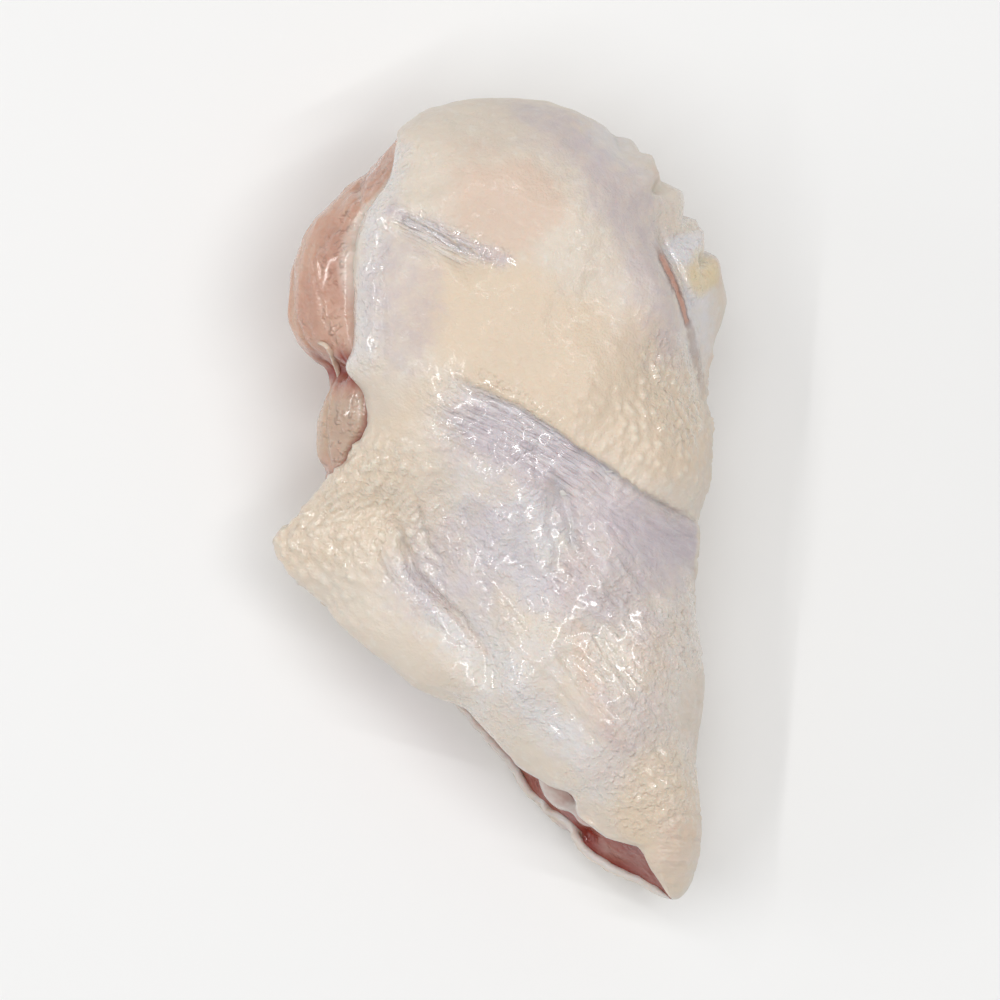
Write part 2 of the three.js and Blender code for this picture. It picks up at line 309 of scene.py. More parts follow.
@dataclass(frozen=True)
class Form:
    """The drumette's cross sections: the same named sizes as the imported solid."""

    right_power: float = 2.35
    lower_left_power: float = 2.2
    upper_lip_x: Profile = Profile([
        (48.9, 0), (48.2, -6), (46.4, -10.4), (43.6, -12.6), (40.6, -12.6), (37.4, -13.8), (33.5, -16.6),
        (28, -17.9), (19, -18), (13, -16.4), (9.2, -16), (5.2, -18), (1.8, -21.2), (-1.6, -24.4),
        (-4.9, -27.5), (-8.6, -25.4), (-12.4, -21.8), (-15.2, -19), (-19.2, -14.2), (-22.6, -9.8),
        (-24.9, -5.2), (-27.4, -2.4), (-31.5, 1.7), (-34.6, 5.6), (-35.6, 8.6), (-39.3, 10.8),
        (-41.2, 13.2), (-42.2, 17.2), (-44.4, 18.6), (-47.2, 20.6), (-48.9, 22.4),
    ])
    upper_lip_z: Profile = Profile([
        (48.9, 14), (46, 18), (42, 21), (36, 22.4), (24, 22.8), (14, 21.6), (8, 19.4), (2, 15.4),
        (-4.9, 10.4), (-10, 11.2), (-18, 13.6), (-26, 15), (-34, 14.6), (-40, 13.4), (-44.4, 12),
        (-47.4, 10), (-48.9, 8),
    ])
    lower_lip_x: Profile = Profile([
        (48.9, 0), (46, -7), (42, -9.5), (36, -13), (26, -15.5), (16, -14), (8, -13), (1, -19),
        (-4.9, -26.9), (-9, -24.4), (-16, -16.4), (-24, -4.8), (-32, 1.8), (-38, 6.4), (-42.4, 10.4),
        (-45.4, 14.4), (-47.4, 18.6), (-48.9, 22.4),
    ])
    lower_lip_z: Profile = Profile([
        (48.9, 14), (46, 10), (42, 6.5), (36, 4.5), (26, 3.8), (16, 4.6), (8, 7), (2, 7.8), (-4.9, 7.4),
        (-10, 6.6), (-18, 4.6), (-28, 3.6), (-36, 3.6), (-43, 4.6), (-47.4, 6), (-48.9, 8),
    ])
    right_x: Profile = Profile([
        (48.9, 0), (48.5, 6), (46.5, 11.2), (43.6, 15.4), (40.3, 18.4), (37, 20.6), (33.6, 23.2),
        (28.6, 26.2), (23.9, 27.5), (17, 26.2), (12.4, 25.4), (8.8, 26), (2.4, 26), (-2.4, 24.4),
        (-8.8, 24.4), (-25.4, 25), (-36, 25), (-42, 24.7), (-46.4, 24), (-48.9, 22.4),
    ])
    right_z: Profile = Profile([
        (48.9, 14), (38, 14.4), (20, 13.6), (0, 12.6), (-20, 11.2), (-36, 9.8), (-48.9, 8),
    ])
    crest_x: Profile = Profile([
        (48.9, 0), (36, 1.5), (20, 3), (4, 5), (-10, 8.5), (-24, 13), (-36, 17.6), (-48.9, 22.4),
    ])
    crest_z: Profile = Profile([
        (48.9, 14), (47, 21.6), (44, 26), (40, 28.8), (34, 30), (14, 30), (6, 29), (-2, 27.2),
        (-12, 25.6), (-22, 24), (-30, 22), (-38, 19), (-43, 16.4), (-46.6, 13.4), (-48.9, 8),
    ])
    belly_z: Profile = Profile([
        (48.9, 14), (47.4, 8.4), (44.6, 3.8), (40.6, 0.9), (34, -0.8), (24, -1), (12, -0.5), (2, 0.3),
        (-8, -0.2), (-18, -0.9), (-28, -0.9), (-36, 0.2), (-43, 1.8), (-46.8, 3.8), (-48.9, 8),
    ])
    left_round: Profile = Profile([
        (48.9, 2.3), (18, 2.5), (8, 1.9), (-2, 1.35), (-12, 1.4), (-24, 2), (-48.9, 2.2),
    ])

    def sizes(self, t: np.ndarray) -> dict[str, np.ndarray]:
        """Every profile's value at stations t, as columns that broadcast over a section."""
        return {
            name: value.at(t)[:, None]
            for name, value in vars(self).items()
            if isinstance(value, Profile)
        }

    @staticmethod
    def quarter(
        side: tuple[np.ndarray, np.ndarray],
        middle: tuple[np.ndarray, np.ndarray],
        power: np.ndarray | float,
        along: np.ndarray,
    ) -> tuple[np.ndarray, np.ndarray]:
        """A quarter of a section, from its side to its highest or lowest line.

        Args:
            side: X and Z of the side.
            middle: X and Z of the highest or lowest line.
            power: 2 is an ellipse, more is fuller.
            along: Places on the quarter, 0 at the side and 1 at the middle.

        Returns:
            X and Z of the places.
        """
        across = np.cos(np.pi / 2.0 * along)
        rise = np.maximum(0.0, 1.0 - across**power) ** (1.0 / power)
        return middle[0] + (side[0] - middle[0]) * across, side[1] + (middle[1] - side[1]) * rise

    def skin_section(self, t: np.ndarray, steps: int) -> tuple[np.ndarray, np.ndarray]:
        """The outer line of the skin at stations t, before relief.

        Args:
            t: Stations.
            steps: Steps in each of the four quarters.

        Returns:
            X and Z, with a row for each station, from the upper lip over the crest and round the right
            side to the lower lip.
        """
        s = self.sizes(t)
        out = np.linspace(0.0, 1.0, steps + 1)[None, :]
        back = 1.0 - out
        crest = (s["crest_x"], s["crest_z"])
        belly = (s["crest_x"], s["belly_z"])
        right = (s["right_x"], s["right_z"])
        quarters = [
            self.quarter((s["upper_lip_x"], s["upper_lip_z"]), crest, s["left_round"], out),
            self.quarter(right, crest, self.right_power, back),
            self.quarter(right, belly, self.right_power, out),
            self.quarter((s["lower_lip_x"], s["lower_lip_z"]), belly, self.lower_left_power, back),
        ]
        xs = [x if i == 0 else x[:, 1:] for i, (x, _) in enumerate(quarters)]
        zs = [z if i == 0 else z[:, 1:] for i, (_, z) in enumerate(quarters)]
        return np.concatenate(xs, axis=1), np.concatenate(zs, axis=1)


FLAP_CREASE = Line([(-13.2, -2.4), (-11.4, -6.2), (-10.3, -9.1), (-7.7, -11.8), (-5.1, -14.1), (-2.2, -18.7)])


@dataclass(frozen=True)
class SharpCrease:
    """A fine sharp crease in the skin, with its depth and width in millimetres."""

    line: Line
    depth: float
    width: float


SHARP_CREASES = (
    SharpCrease(FLAP_CREASE, 1.0, 0.5),
    SharpCrease(Line([(-10.4, -0.2), (-9.5, -4), (-8.6, -7)]), 0.6, 0.45),
    SharpCrease(Line([(-15.2, -4.6), (-13.6, -8), (-12.2, -11)]), 0.6, 0.45),
    SharpCrease(Line([(5.4, 3.6), (6.8, 0.0), (8.2, -4.4), (8.6, -8)]), 0.7, 0.7),
)


@dataclass(frozen=True)
class Folds:
    """The folds that the solid has too, with their heights and depths in millimetres."""

    main: Line = Line([
        (-8.8, 15.8), (-4.9, 13.4), (1.3, 10.6), (6.8, 7.4), (11.5, 4.6), (15.2, 1.7), (19.9, -0.7),
        (25.5, -3),
    ])
    shoulder: Line = Line([(-13.5, 34), (-10.3, 32.4), (-7, 30.5), (-3.8, 28.9), (-0.9, 27.8)])
    slit: Line = Line([(16.6, 36.5), (18, 31), (20.6, 25), (22.6, 20), (24.2, 15.4), (25.6, 11)])
    flap: Line = Line([(-14, -1), (-12, -5.6), (-9.8, -9.6), (-6.4, -13.4), (-3.4, -17.6), (-1.6, -21)])
    body: Line = Line([(3.6, 5), (5.4, 0.6), (6.8, -4.4), (6.4, -9)])
    under: Line = Line([(-1, 38), (1.5, 26), (4.5, 12), (7, -4), (11, -18), (15.5, -32)])
    under_cross: Line = Line([(-19, 1), (-13, 5.6), (-6, 7.2), (2, 4.4), (8, 4.8)])
    fat_lump: Pair = (24.6, 27.2)
    lap_height: float = 0.9
    shoulder_steps: Pair = (-0.2, -0.9)
    slit_depth: float = 2.0
    slit_drop: float = 2.6
    flap_depth: float = 1.5
    body_depth: float = 0.9
    fat_height: float = 1.5
    under_depth: float = 2.0
    under_cross_depth: float = 1.4
    crease_lip: float = 0.15

    def above(self, x: np.ndarray, y: np.ndarray) -> np.ndarray:
        """Height that the folds add to the outer side of the skin."""
        fold, fold_along = self.main.near(x, y)
        edge = smooth(-0.35, 0.35, fold)
        lap = (1.0 - edge) * -self.lap_height * bump(fold, 6.0) + edge * self.lap_height * bump(fold, 7.0)
        lap = lap * (0.45 + 0.55 * smooth(0.35, 0.75, fold_along))
        crease, crease_along = self.shoulder.near(x, y)
        crease_step = np.where(crease > 0, *self.shoulder_steps) * bump(crease, 2.4)
        slit, slit_along = self.slit.near(x, y)
        outside = -self.slit_drop * smooth(0.0, 1.6, slit)
        fat = np.hypot(x - self.fat_lump[0], y - self.fat_lump[1])
        return (
            smooth(0.0, 0.25, fold_along) * lap
            + between(crease_along, 0.0, 0.15, 0.7, 1.0) * crease_step
            + between(slit_along, 0.0, 0.3, 0.75, 1.0) * (outside - self.slit_depth * bump(slit, 1.3))
            - self.flap_depth * bump(self.flap.near(x, y)[0], 2.6)
            - self.body_depth * bump(self.body.near(x, y)[0], 3.0)
            + self.fat_height * bump(fat, 3.4)
        )

    def sharp_creases(self, x: np.ndarray, y: np.ndarray, wander: np.ndarray) -> np.ndarray:
        """Fine sharp creases at the bottom of the wider dips, and two beside them.

        Args:
            x: X of the places.
            y: Y of the places.
            wander: Unevenness that bends the creases a little.

        Returns:
            The height they add, which is hardly above 0 on the small lip beside each.
        """
        height = np.zeros(x.shape)
        for crease in SHARP_CREASES:
            distance, along = crease.line.near(x, y)
            distance = distance + 0.35 * wander
            cut = self.crease_lip * bump(distance - 1.1, 0.9) - crease.depth * bump(distance, crease.width)
            height += between(along, 0.0, 0.2, 0.75, 1.0) * cut
        return height

    def below(self, x: np.ndarray, y: np.ndarray) -> np.ndarray:
        """Height that the folds take up into the underside."""
        cross, cross_along = self.under_cross.near(x, y)
        across = between(cross_along, 0.0, 0.2, 0.7, 1.0) * bump(cross, 2.4)
        return self.under_depth * bump(self.under.near(x, y)[0], 4.0) + self.under_cross_depth * across


FORM = Form()
FOLDS = Folds()


def unevenness(x: np.ndarray, y: np.ndarray, z: np.ndarray) -> np.ndarray:
    """Slow unevenness of the whole form, as in the solid."""
    first = np.sin(0.21 * x + 0.17 * y + 0.9) * np.sin(0.19 * y - 0.23 * z + 2.1)
    return 0.45 * first + 0.3 * np.sin(0.42 * x - 0.31 * y + 0.27 * z + 0.4)


def bundles(y: np.ndarray, z: np.ndarray) -> np.ndarray:
    """Swellings of the muscle's bundles, as in the solid."""
    return 0.5 * np.sin(0.62 * z + 0.24 * y + 0.8) + 0.35 * np.sin(0.35 * y - 0.3 * z)


# ---------------------------------------------------------------- meshes


@dataclass
class Rings:
    """A closed body made of rings, each a closed loop of points, with a point at either end."""

    points: np.ndarray
    first_end: np.ndarray
    last_end: np.ndarray
    masks: dict[str, np.ndarray] = field(default_factory=dict)

    def build(self, name: str) -> bpy.types.Object:
        """Make the mesh object, in metres.

        Args:
            name: Name of the object and its mesh.

        Returns:
            The linked object, shaded smooth, with a float attribute for each mask.
        """
        rows, columns = self.points.shape[:2]
        vertices = np.concatenate([self.points.reshape(-1, 3), [self.first_end, self.last_end]]) * MM
        index = np.arange(rows * columns).reshape(rows, columns)
        following = np.roll(index, -1, axis=1)
        quads = np.stack([index[:-1], following[:-1], following[1:], index[1:]], axis=-1).reshape(-1, 4)
        first = [(rows * columns, b, a) for a, b in zip(index[0], following[0])]
        last = [(rows * columns + 1, a, b) for a, b in zip(index[-1], following[-1])]
        mesh = bpy.data.meshes.new(name)
        mesh.from_pydata(vertices.tolist(), [], quads.tolist() + first + last)
        mesh.polygons.foreach_set("use_smooth", np.ones(len(mesh.polygons), bool))
        for mask, values in self.masks.items():
            attribute = mesh.attributes.new(mask, "FLOAT", "POINT")
            ends = [values[0].mean(), values[-1].mean()]
            attribute.data.foreach_set("value", np.concatenate([values.ravel(), ends]).astype(np.float32))
        mesh.validate()
        mesh.update()
        obj = bpy.data.objects.new(name, mesh)
        bpy.context.scene.collection.objects.link(obj)
        return obj


def normals_of(points: np.ndarray, centre: np.ndarray) -> np.ndarray:
    """Outward normals of a grid of points.

    Args:
        points: Grid of points, rows along the part and columns round it.
        centre: A point inside each row, one for each row.

    Returns:
        Unit normals that point away from the centres.
    """
    along = np.gradient(points, axis=0)
    across = np.gradient(points, axis=1)
    normal = np.cross(along, across)
    normal /= np.linalg.norm(normal, axis=-1, keepdims=True) + 1e-12
    outward = np.sum(normal * (points - centre[:, None, :]), axis=-1)
    return normal * (1.0 if np.median(outward) >= 0 else -1.0)


def evenly(points: np.ndarray, count: int) -> np.ndarray:
    """Spread each row's places evenly by length, carrying their other values along.

    Args:
        points: Rows of places: x, y, z and any further values.
        count: Places wanted in each row.

    Returns:
        Rows of count places on the same lines.
    """
    spread = np.empty((len(points), count, points.shape[-1]))
    for row, line in enumerate(points):
        lengths = np.linalg.norm(np.diff(line[:, :3], axis=0), axis=1)
        run = np.concatenate([[0.0], np.cumsum(lengths)])
        wanted = np.linspace(0.0, run[-1], count)
        for axis in range(points.shape[-1]):
            spread[row, :, axis] = np.interp(wanted, run, line[:, axis])
    return spread


def even_stations(count: int) -> np.ndarray:
    """Stations spread evenly along the line of highest points, leaving out the two ends."""
    t = np.linspace(0.0, 1.0, 2000)
    line = np.stack([SPAN.y_at(t), FORM.crest_z.at(t)], axis=-1)
    run = np.concatenate([[0.0], np.cumsum(np.linalg.norm(np.diff(line, axis=0), axis=1))])
    return np.interp(np.linspace(0.0, run[-1], count + 2)[1:-1], run, t)


# ---------------------------------------------------------------- shaders


class Mask(Enum):
    """The masks that the skin's mesh carries."""

    YELLOW = "yellow"
    # Lilac skin, and the painted shade under the fold's right end.
    LILAC = "lilac_and_shade"
    PINK = "pink"
    WHITE = "white"
    # The slit: raw flesh, and painted shade along its edges.
    RAW = "raw_and_shade"
    SLIT = "slit"
    FAT = "fat"
    GLITTER = "glitter"
    PIMPLE = "pimple"
    STREAK = "streak"
    SLANT = "slant"
    LEVEL = "level"
    ACROSS = "across"
    ALONG = "along"


class MuscleMask(Enum):
    """The masks that the muscle's mesh carries."""

    MEMBRANE = "membrane"
    # Blood and dark flesh, partly painted shade in the recesses.
    BLOOD = "blood_and_shade"
    WET = "wet"
    TAN = "tan"
    GREY = "grey"


Colour = tuple[float, float, float]


def paint(red: int, green: int, blue: int) -> Colour:
    """A colour by its display values, from 0 to 255, as the linear values that shaders take."""
    shares = (value / 255.0 for value in (red, green, blue))
    return tuple(v / 12.92 if v <= 0.04045 else ((v + 0.055) / 1.055) ** 2.4 for v in shares)


@dataclass
class NodeMaker:
    """A small helper that adds and links nodes in one tree."""

    tree: bpy.types.NodeTree

    def add(self, kind: str, **settings: object) -> bpy.types.Node:
        """Add a node and set its properties."""
        node = self.tree.nodes.new(kind)
        for name, value in settings.items():
            setattr(node, name, value)
        return node

    def feed(self, socket: bpy.types.NodeSocket, value: object) -> None:
        """Link a socket into an input, or set the input's own value."""
        if isinstance(value, bpy.types.NodeSocket):
            self.tree.links.new(value, socket)
        elif isinstance(value, tuple) and len(value) == 3 and len(socket.default_value) == 4:
            socket.default_value = (*value, 1.0)
        else:
            socket.default_value = value

    def maths(self, operation: str, *values: object) -> bpy.types.NodeSocket:
        """A Math node with its inputs fed in order."""
        node = self.add("ShaderNodeMath", operation=operation)
        for socket, value in zip(node.inputs, values):
            self.feed(socket, value)
        return node.outputs[0]

    def ramp(
        self, value: object, low: float, high: float, to_low: float = 0.0, to_high: float = 1.0
    ) -> bpy.types.NodeSocket:
        """A smooth Map Range node."""
        node = self.add("ShaderNodeMapRange", interpolation_type="SMOOTHSTEP")
        for socket, given in zip(node.inputs, (value, low, high, to_low, to_high)):
            self.feed(socket, given)
        return node.outputs[0]

    def mix(self, share: object, first: object, second: object) -> bpy.types.NodeSocket:
        """A colour Mix node."""
        node = self.add("ShaderNodeMix", data_type="RGBA")
        self.feed(node.inputs["Factor"], share)
        self.feed(node.inputs[6], first)
        self.feed(node.inputs[7], second)
        return node.outputs[2]

    def noise(
        self, place: object, scale: object, detail: float = 3.0, roughness: float = 0.55
    ) -> bpy.types.NodeSocket:
        """A Noise Texture node's value."""
        node = self.add("ShaderNodeTexNoise")
        for name, value in zip(("Vector", "Scale", "Detail", "Roughness"), (place, scale, detail, roughness)):
            self.feed(node.inputs[name], value)
        return node.outputs[0]

    def per(self, size: object) -> bpy.types.NodeSocket:
        """The scale that gives cells of a size."""
        return self.maths("DIVIDE", 1.0, size)

    def attribute(self, name: str) -> bpy.types.NodeSocket:
        """A mesh attribute's value."""
        return self.add("ShaderNodeAttribute", attribute_name=name).outputs["Fac"]

    def group(self, tree: bpy.types.NodeTree, **inputs: object) -> bpy.types.Node:
        """Place a node group and feed its named inputs; an underscore stands for a space."""
        node = self.add("ShaderNodeGroup", node_tree=tree)
        for name, value in inputs.items():
            self.feed(node.inputs[name.replace("_", " ")], value)
        return node


def new_group(
    name: str, inputs: dict[str, str], outputs: dict[str, str]
) -> tuple[NodeMaker, bpy.types.Node, bpy.types.Node]:
    """Start a shader node group.

    Args:
        name: Name of the group.
        inputs: Socket name to socket type.
        outputs: Socket name to socket type.

    Returns:
        A maker for its tree, its input node and its output node.
    """
    tree = bpy.data.node_groups.new(name, "ShaderNodeTree")
    for side, sockets in (("INPUT", inputs), ("OUTPUT", outputs)):
        for socket, kind in sockets.items():
            tree.interface.new_socket(name=socket, in_out=side, socket_type=kind)
    maker = NodeMaker(tree)
    return maker, maker.add("NodeGroupInput"), maker.add("NodeGroupOutput")


FLOAT, COLOUR, VECTOR = "NodeSocketFloat", "NodeSocketColor", "NodeSocketVector"


def wet_relief_group() -> bpy.types.NodeTree:
    """The fine relief of a wet surface: small puckers, grain and beads of moisture, as one normal.

    Returns:
        The group, with a size and a depth for the puckers, the grain and the beads, and the height of
        anything else in the surface, all in metres.
    """
    maker, given, result = new_group(
        "WetRelief",
        {
            "Pucker Size": FLOAT, "Pucker Depth": FLOAT, "Grain Size": FLOAT, "Grain Depth": FLOAT,
            "Bead Size": FLOAT, "Bead Depth": FLOAT, "Other Height": FLOAT,
        },
        {"Normal": VECTOR},
    )
    place = maker.add("ShaderNodeTexCoord").outputs["Object"]
    height = given.outputs["Other Height"]
    for kind, detail in (("Pucker", 2.0), ("Grain", 3.0), ("Bead", 1.0)):
        roughness = 0.55 if kind == "Bead" else 0.5
        layer = maker.noise(place, maker.per(given.outputs[f"{kind} Size"]), detail, roughness)
        if kind == "Bead":
            layer = maker.ramp(layer, 0.46, 0.78)
        height = maker.maths("ADD", height, maker.maths("MULTIPLY", layer, given.outputs[f"{kind} Depth"]))
    bumped = maker.add("ShaderNodeBump")
    for name, value in (("Strength", 1.0), ("Distance", 1.0), ("Height", height)):
        maker.feed(bumped.inputs[name], value)
    maker.feed(result.inputs["Normal"], bumped.outputs[0])
    return maker.tree


def strand_group() -> bpy.types.NodeTree:
    """Long thin strands or wrinkles: noise drawn out along one direction.

    Returns:
        The group, with the input Place, the Width and Length of a strand in Place's unit, and the output
        Strand, from 0 to 1.
    """
    maker, given, result = new_group(
        "DrawnStrands", {"Place": VECTOR, "Width": FLOAT, "Length": FLOAT}, {"Strand": FLOAT}
    )
    parts = maker.add("ShaderNodeSeparateXYZ")
    maker.feed(parts.inputs[0], given.outputs["Place"])
    joined = maker.add("ShaderNodeCombineXYZ")
    maker.feed(joined.inputs[0], maker.maths("DIVIDE", parts.outputs[0], given.outputs["Width"]))
    maker.feed(joined.inputs[1], maker.maths("DIVIDE", parts.outputs[1], given.outputs["Length"]))
    maker.feed(joined.inputs[2], maker.maths("DIVIDE", parts.outputs[2], given.outputs["Length"]))
    drawn = maker.noise(joined.outputs[0], 1.0, 2.0, 0.5)
    maker.feed(result.inputs["Strand"], maker.ramp(drawn, 0.3, 0.7))
    return maker.tree


def mottle_group() -> bpy.types.NodeTree:
    """Uneven colour: a base colour that drifts towards a second one in soft patches and fine flecks.

    Returns:
        The group, with inputs Base, Patch, Fleck, Patch Size and Fleck Size (metres) and two amounts.
    """
    maker, given, result = new_group(
        "Mottle",
        {
            "Base": COLOUR, "Patch": COLOUR, "Fleck": COLOUR, "Patch Size": FLOAT, "Fleck Size": FLOAT,
            "Patch Amount": FLOAT, "Fleck Amount": FLOAT,
        },
        {"Color": COLOUR},
    )
    place = maker.add("ShaderNodeTexCoord").outputs["Object"]
    colour = given.outputs["Base"]
    for kind, low, high in (("Patch", 0.4, 0.66), ("Fleck", 0.55, 0.72)):
        texture = maker.noise(place, maker.per(given.outputs[f"{kind} Size"]), 4.0, 0.5)
        share = maker.maths("MULTIPLY", maker.ramp(texture, low, high), given.outputs[f"{kind} Amount"])
        colour = maker.mix(share, colour, given.outputs[kind])
    maker.feed(result.inputs["Color"], colour)
    return maker.tree


@dataclass(frozen=True)
class Finish:
    """A wet finish of one tissue, with its gloss and how far light goes into it.

    Where a piece's masks drive the coat or a depth, that link stands in for the number given here.
    """

    name: str
    base: Colour
    patch: Colour
    fleck: Colour
    patch_size: float
    fleck_size: float
    patch_amount: float
    fleck_amount: float
    roughness: float
    coat: float
    coat_roughness: float
    scatter: float
    scatter_colour: Colour
    pucker: tuple[float, float]
    grain: tuple[float, float]
    bead: tuple[float, float]

    def shader(self, groups: dict[str, bpy.types.NodeTree]) -> tuple[bpy.types.Material, NodeMaker, dict]:
        """Make the material, without the tints that belong to one piece alone.

        Args:
            groups: The shared node groups, by name.

        Returns:
            The material, a maker for its tree, and its main nodes by name.
        """
        material = bpy.data.materials.new(self.name)
        material.use_nodes = True
        maker = NodeMaker(material.node_tree)
        shader = material.node_tree.nodes["Principled BSDF"]
        mottle = maker.group(
            groups["mottle"], Base=self.base, Patch=self.patch, Fleck=self.fleck,
            Patch_Size=self.patch_size, Fleck_Size=self.fleck_size,
            Patch_Amount=self.patch_amount, Fleck_Amount=self.fleck_amount,
        )
        relief = maker.group(
            groups["relief"], Pucker_Size=self.pucker[0], Pucker_Depth=self.pucker[1],
            Grain_Size=self.grain[0], Grain_Depth=self.grain[1],
            Bead_Size=self.bead[0], Bead_Depth=self.bead[1],
        )
        maker.feed(shader.inputs["Base Color"], mottle.outputs["Color"])
        maker.feed(shader.inputs["Normal"], relief.outputs["Normal"])
        shader.inputs["Roughness"].default_value = self.roughness
        shader.inputs["Coat Weight"].default_value = self.coat
        shader.inputs["Coat Roughness"].default_value = self.coat_roughness
        shader.inputs["Subsurface Weight"].default_value = self.scatter
        shader.inputs["Subsurface Radius"].default_value = self.scatter_colour
        shader.inputs["Subsurface Scale"].default_value = 2.2 * MM
        return material, maker, {"shader": shader, "mottle": mottle, "relief": relief}


SKIN_FINISH = Finish(
    name="wet_raw_skin", base=paint(222, 209, 194), patch=paint(214, 199, 184), fleck=paint(229, 221, 211),
    patch_size=7 * MM, fleck_size=1.4 * MM, patch_amount=0.5, fleck_amount=0.5, roughness=0.3,
    coat=0.4, coat_roughness=0.09, scatter=0.22, scatter_colour=(1.0, 0.5, 0.35),
    pucker=(0.75 * MM, 0.22 * MM), grain=(0.32 * MM, 0.08 * MM), bead=(0.7 * MM, 0.1 * MM),
)
MUSCLE_FINISH = Finish(
    name="raw_muscle", base=paint(198, 155, 134), patch=paint(205, 170, 150), fleck=paint(209, 178, 160),
    patch_size=4 * MM, fleck_size=1.1 * MM, patch_amount=0.6, fleck_amount=0.35, roughness=0.27,
    coat=0.4, coat_roughness=0.09, scatter=0.3, scatter_colour=(1.0, 0.35, 0.22),
    pucker=(1.2 * MM, 0.26 * MM), grain=(0.32 * MM, 0.04 * MM), bead=(0.9 * MM, 0.05 * MM),
)
CARTILAGE_FINISH = Finish(
    name="pearly_cartilage", base=paint(204, 191, 182), patch=paint(188, 152, 142),
    fleck=paint(219, 211, 205),
    patch_size=3 * MM, fleck_size=0.9 * MM, patch_amount=0.85, fleck_amount=0.3, roughness=0.2,
    coat=0.8, coat_roughness=0.06, scatter=0.3, scatter_colour=(0.8, 0.6, 0.6),
    pucker=(1.6 * MM, 0.1 * MM), grain=(0.4 * MM, 0.02 * MM), bead=(1.2 * MM, 0.04 * MM),
)
MEMBRANE_FINISH = Finish(
    name="pale_membrane", base=paint(213, 190, 171), patch=paint(203, 172, 152), fleck=paint(225, 211, 198),
    patch_size=2 * MM, fleck_size=0.7 * MM, patch_amount=0.5, fleck_amount=0.4, roughness=0.22,
    coat=0.6, coat_roughness=0.08, scatter=0.3, scatter_colour=(1.0, 0.5, 0.4),
    pucker=(0.9 * MM, 0.15 * MM), grain=(0.3 * MM, 0.03 * MM), bead=(0.8 * MM, 0.06 * MM),
)


def turned(maker: NodeMaker, degrees: float) -> bpy.types.NodeSocket:
    """Object coordinates turned about Z, so that X crosses wrinkles that lie at an angle."""
    mapping = maker.add("ShaderNodeMapping")
    mapping.inputs["Rotation"].default_value = (0.0, 0.0, math.radians(degrees))
    maker.feed(mapping.inputs["Vector"], maker.add("ShaderNodeTexCoord").outputs["Object"])
    return mapping.outputs[0]


@dataclass(frozen=True)
class Tint:
    """A colour that a mask brings in, and how strongly at most."""

    mask: Mask | MuscleMask
    colour: Colour
    strength: float


SKIN_TINTS = (
    Tint(Mask.YELLOW, paint(222, 202, 179), 0.9),
    Tint(Mask.WHITE, paint(222, 219, 221), 0.9),
    Tint(Mask.PINK, paint(218, 194, 176), 0.85),
    Tint(Mask.LILAC, paint(191, 179, 187), 0.9),
    Tint(Mask.FAT, paint(222, 200, 156), 0.8),
)
# Painted shade: dark brown along the slit's two edges and along its closed stretch, for the shade inside it;
# the salmon between is raw flesh.
SLIT_EDGE_SHADE = paint(128, 90, 76)
SLIT_SALMON = paint(204, 154, 134)
# Painted highlight: the pale colour on the pimples' tops stands in for glints of light on the wet skin.
PIMPLE_TOP_HIGHLIGHT = paint(236, 225, 209)
# Painted highlight: the pale colour on the drawn wrinkles' crests stands in for glints on the wet ridges.
WRINKLE_CREST_SHEEN = paint(228, 221, 222)
MUSCLE_TINTS = (
    Tint(MuscleMask.TAN, paint(205, 168, 143), 0.7),
    Tint(MuscleMask.GREY, paint(190, 172, 148), 0.75),
)
PALE_MEMBRANE = paint(222, 205, 192)
FIBRE_CREST = paint(207, 172, 155)
# Dark red of blood and raw flesh, which also serves as painted shade in the muscle's recesses.
DARK_BLOOD_AND_SHADE = Tint(MuscleMask.BLOOD, paint(136, 34, 22), 0.95)
FIBRE_SCALE = (1700.0, 260.0, 1700.0)


@dataclass(frozen=True)
class DrawnWrinkles:
    """Wrinkles that the shader draws where a mask asks for them.

    They cross the X of their place: the distance from the nearest fold where turn is None, or else
    object coordinates turned about Z by that many degrees. Width and length are in the place's unit. Their
    crests are painted paler as far as the last number says: a painted highlight for the glints on them.
    """

    mask: Mask
    turn: float | None
    width: float
    length: float
    depth: float
    paleness: float


DRAWN_WRINKLES = (
    DrawnWrinkles(Mask.STREAK, None, 0.6, 4.2, 0.26 * MM, 0.75),
    DrawnWrinkles(Mask.SLANT, -40.0, 0.85 * MM, 2.6 * MM, 0.12 * MM, 0.3),
    DrawnWrinkles(Mask.LEVEL, -90.0, 1.2 * MM, 7.0 * MM, 0.12 * MM, 0.15),
)


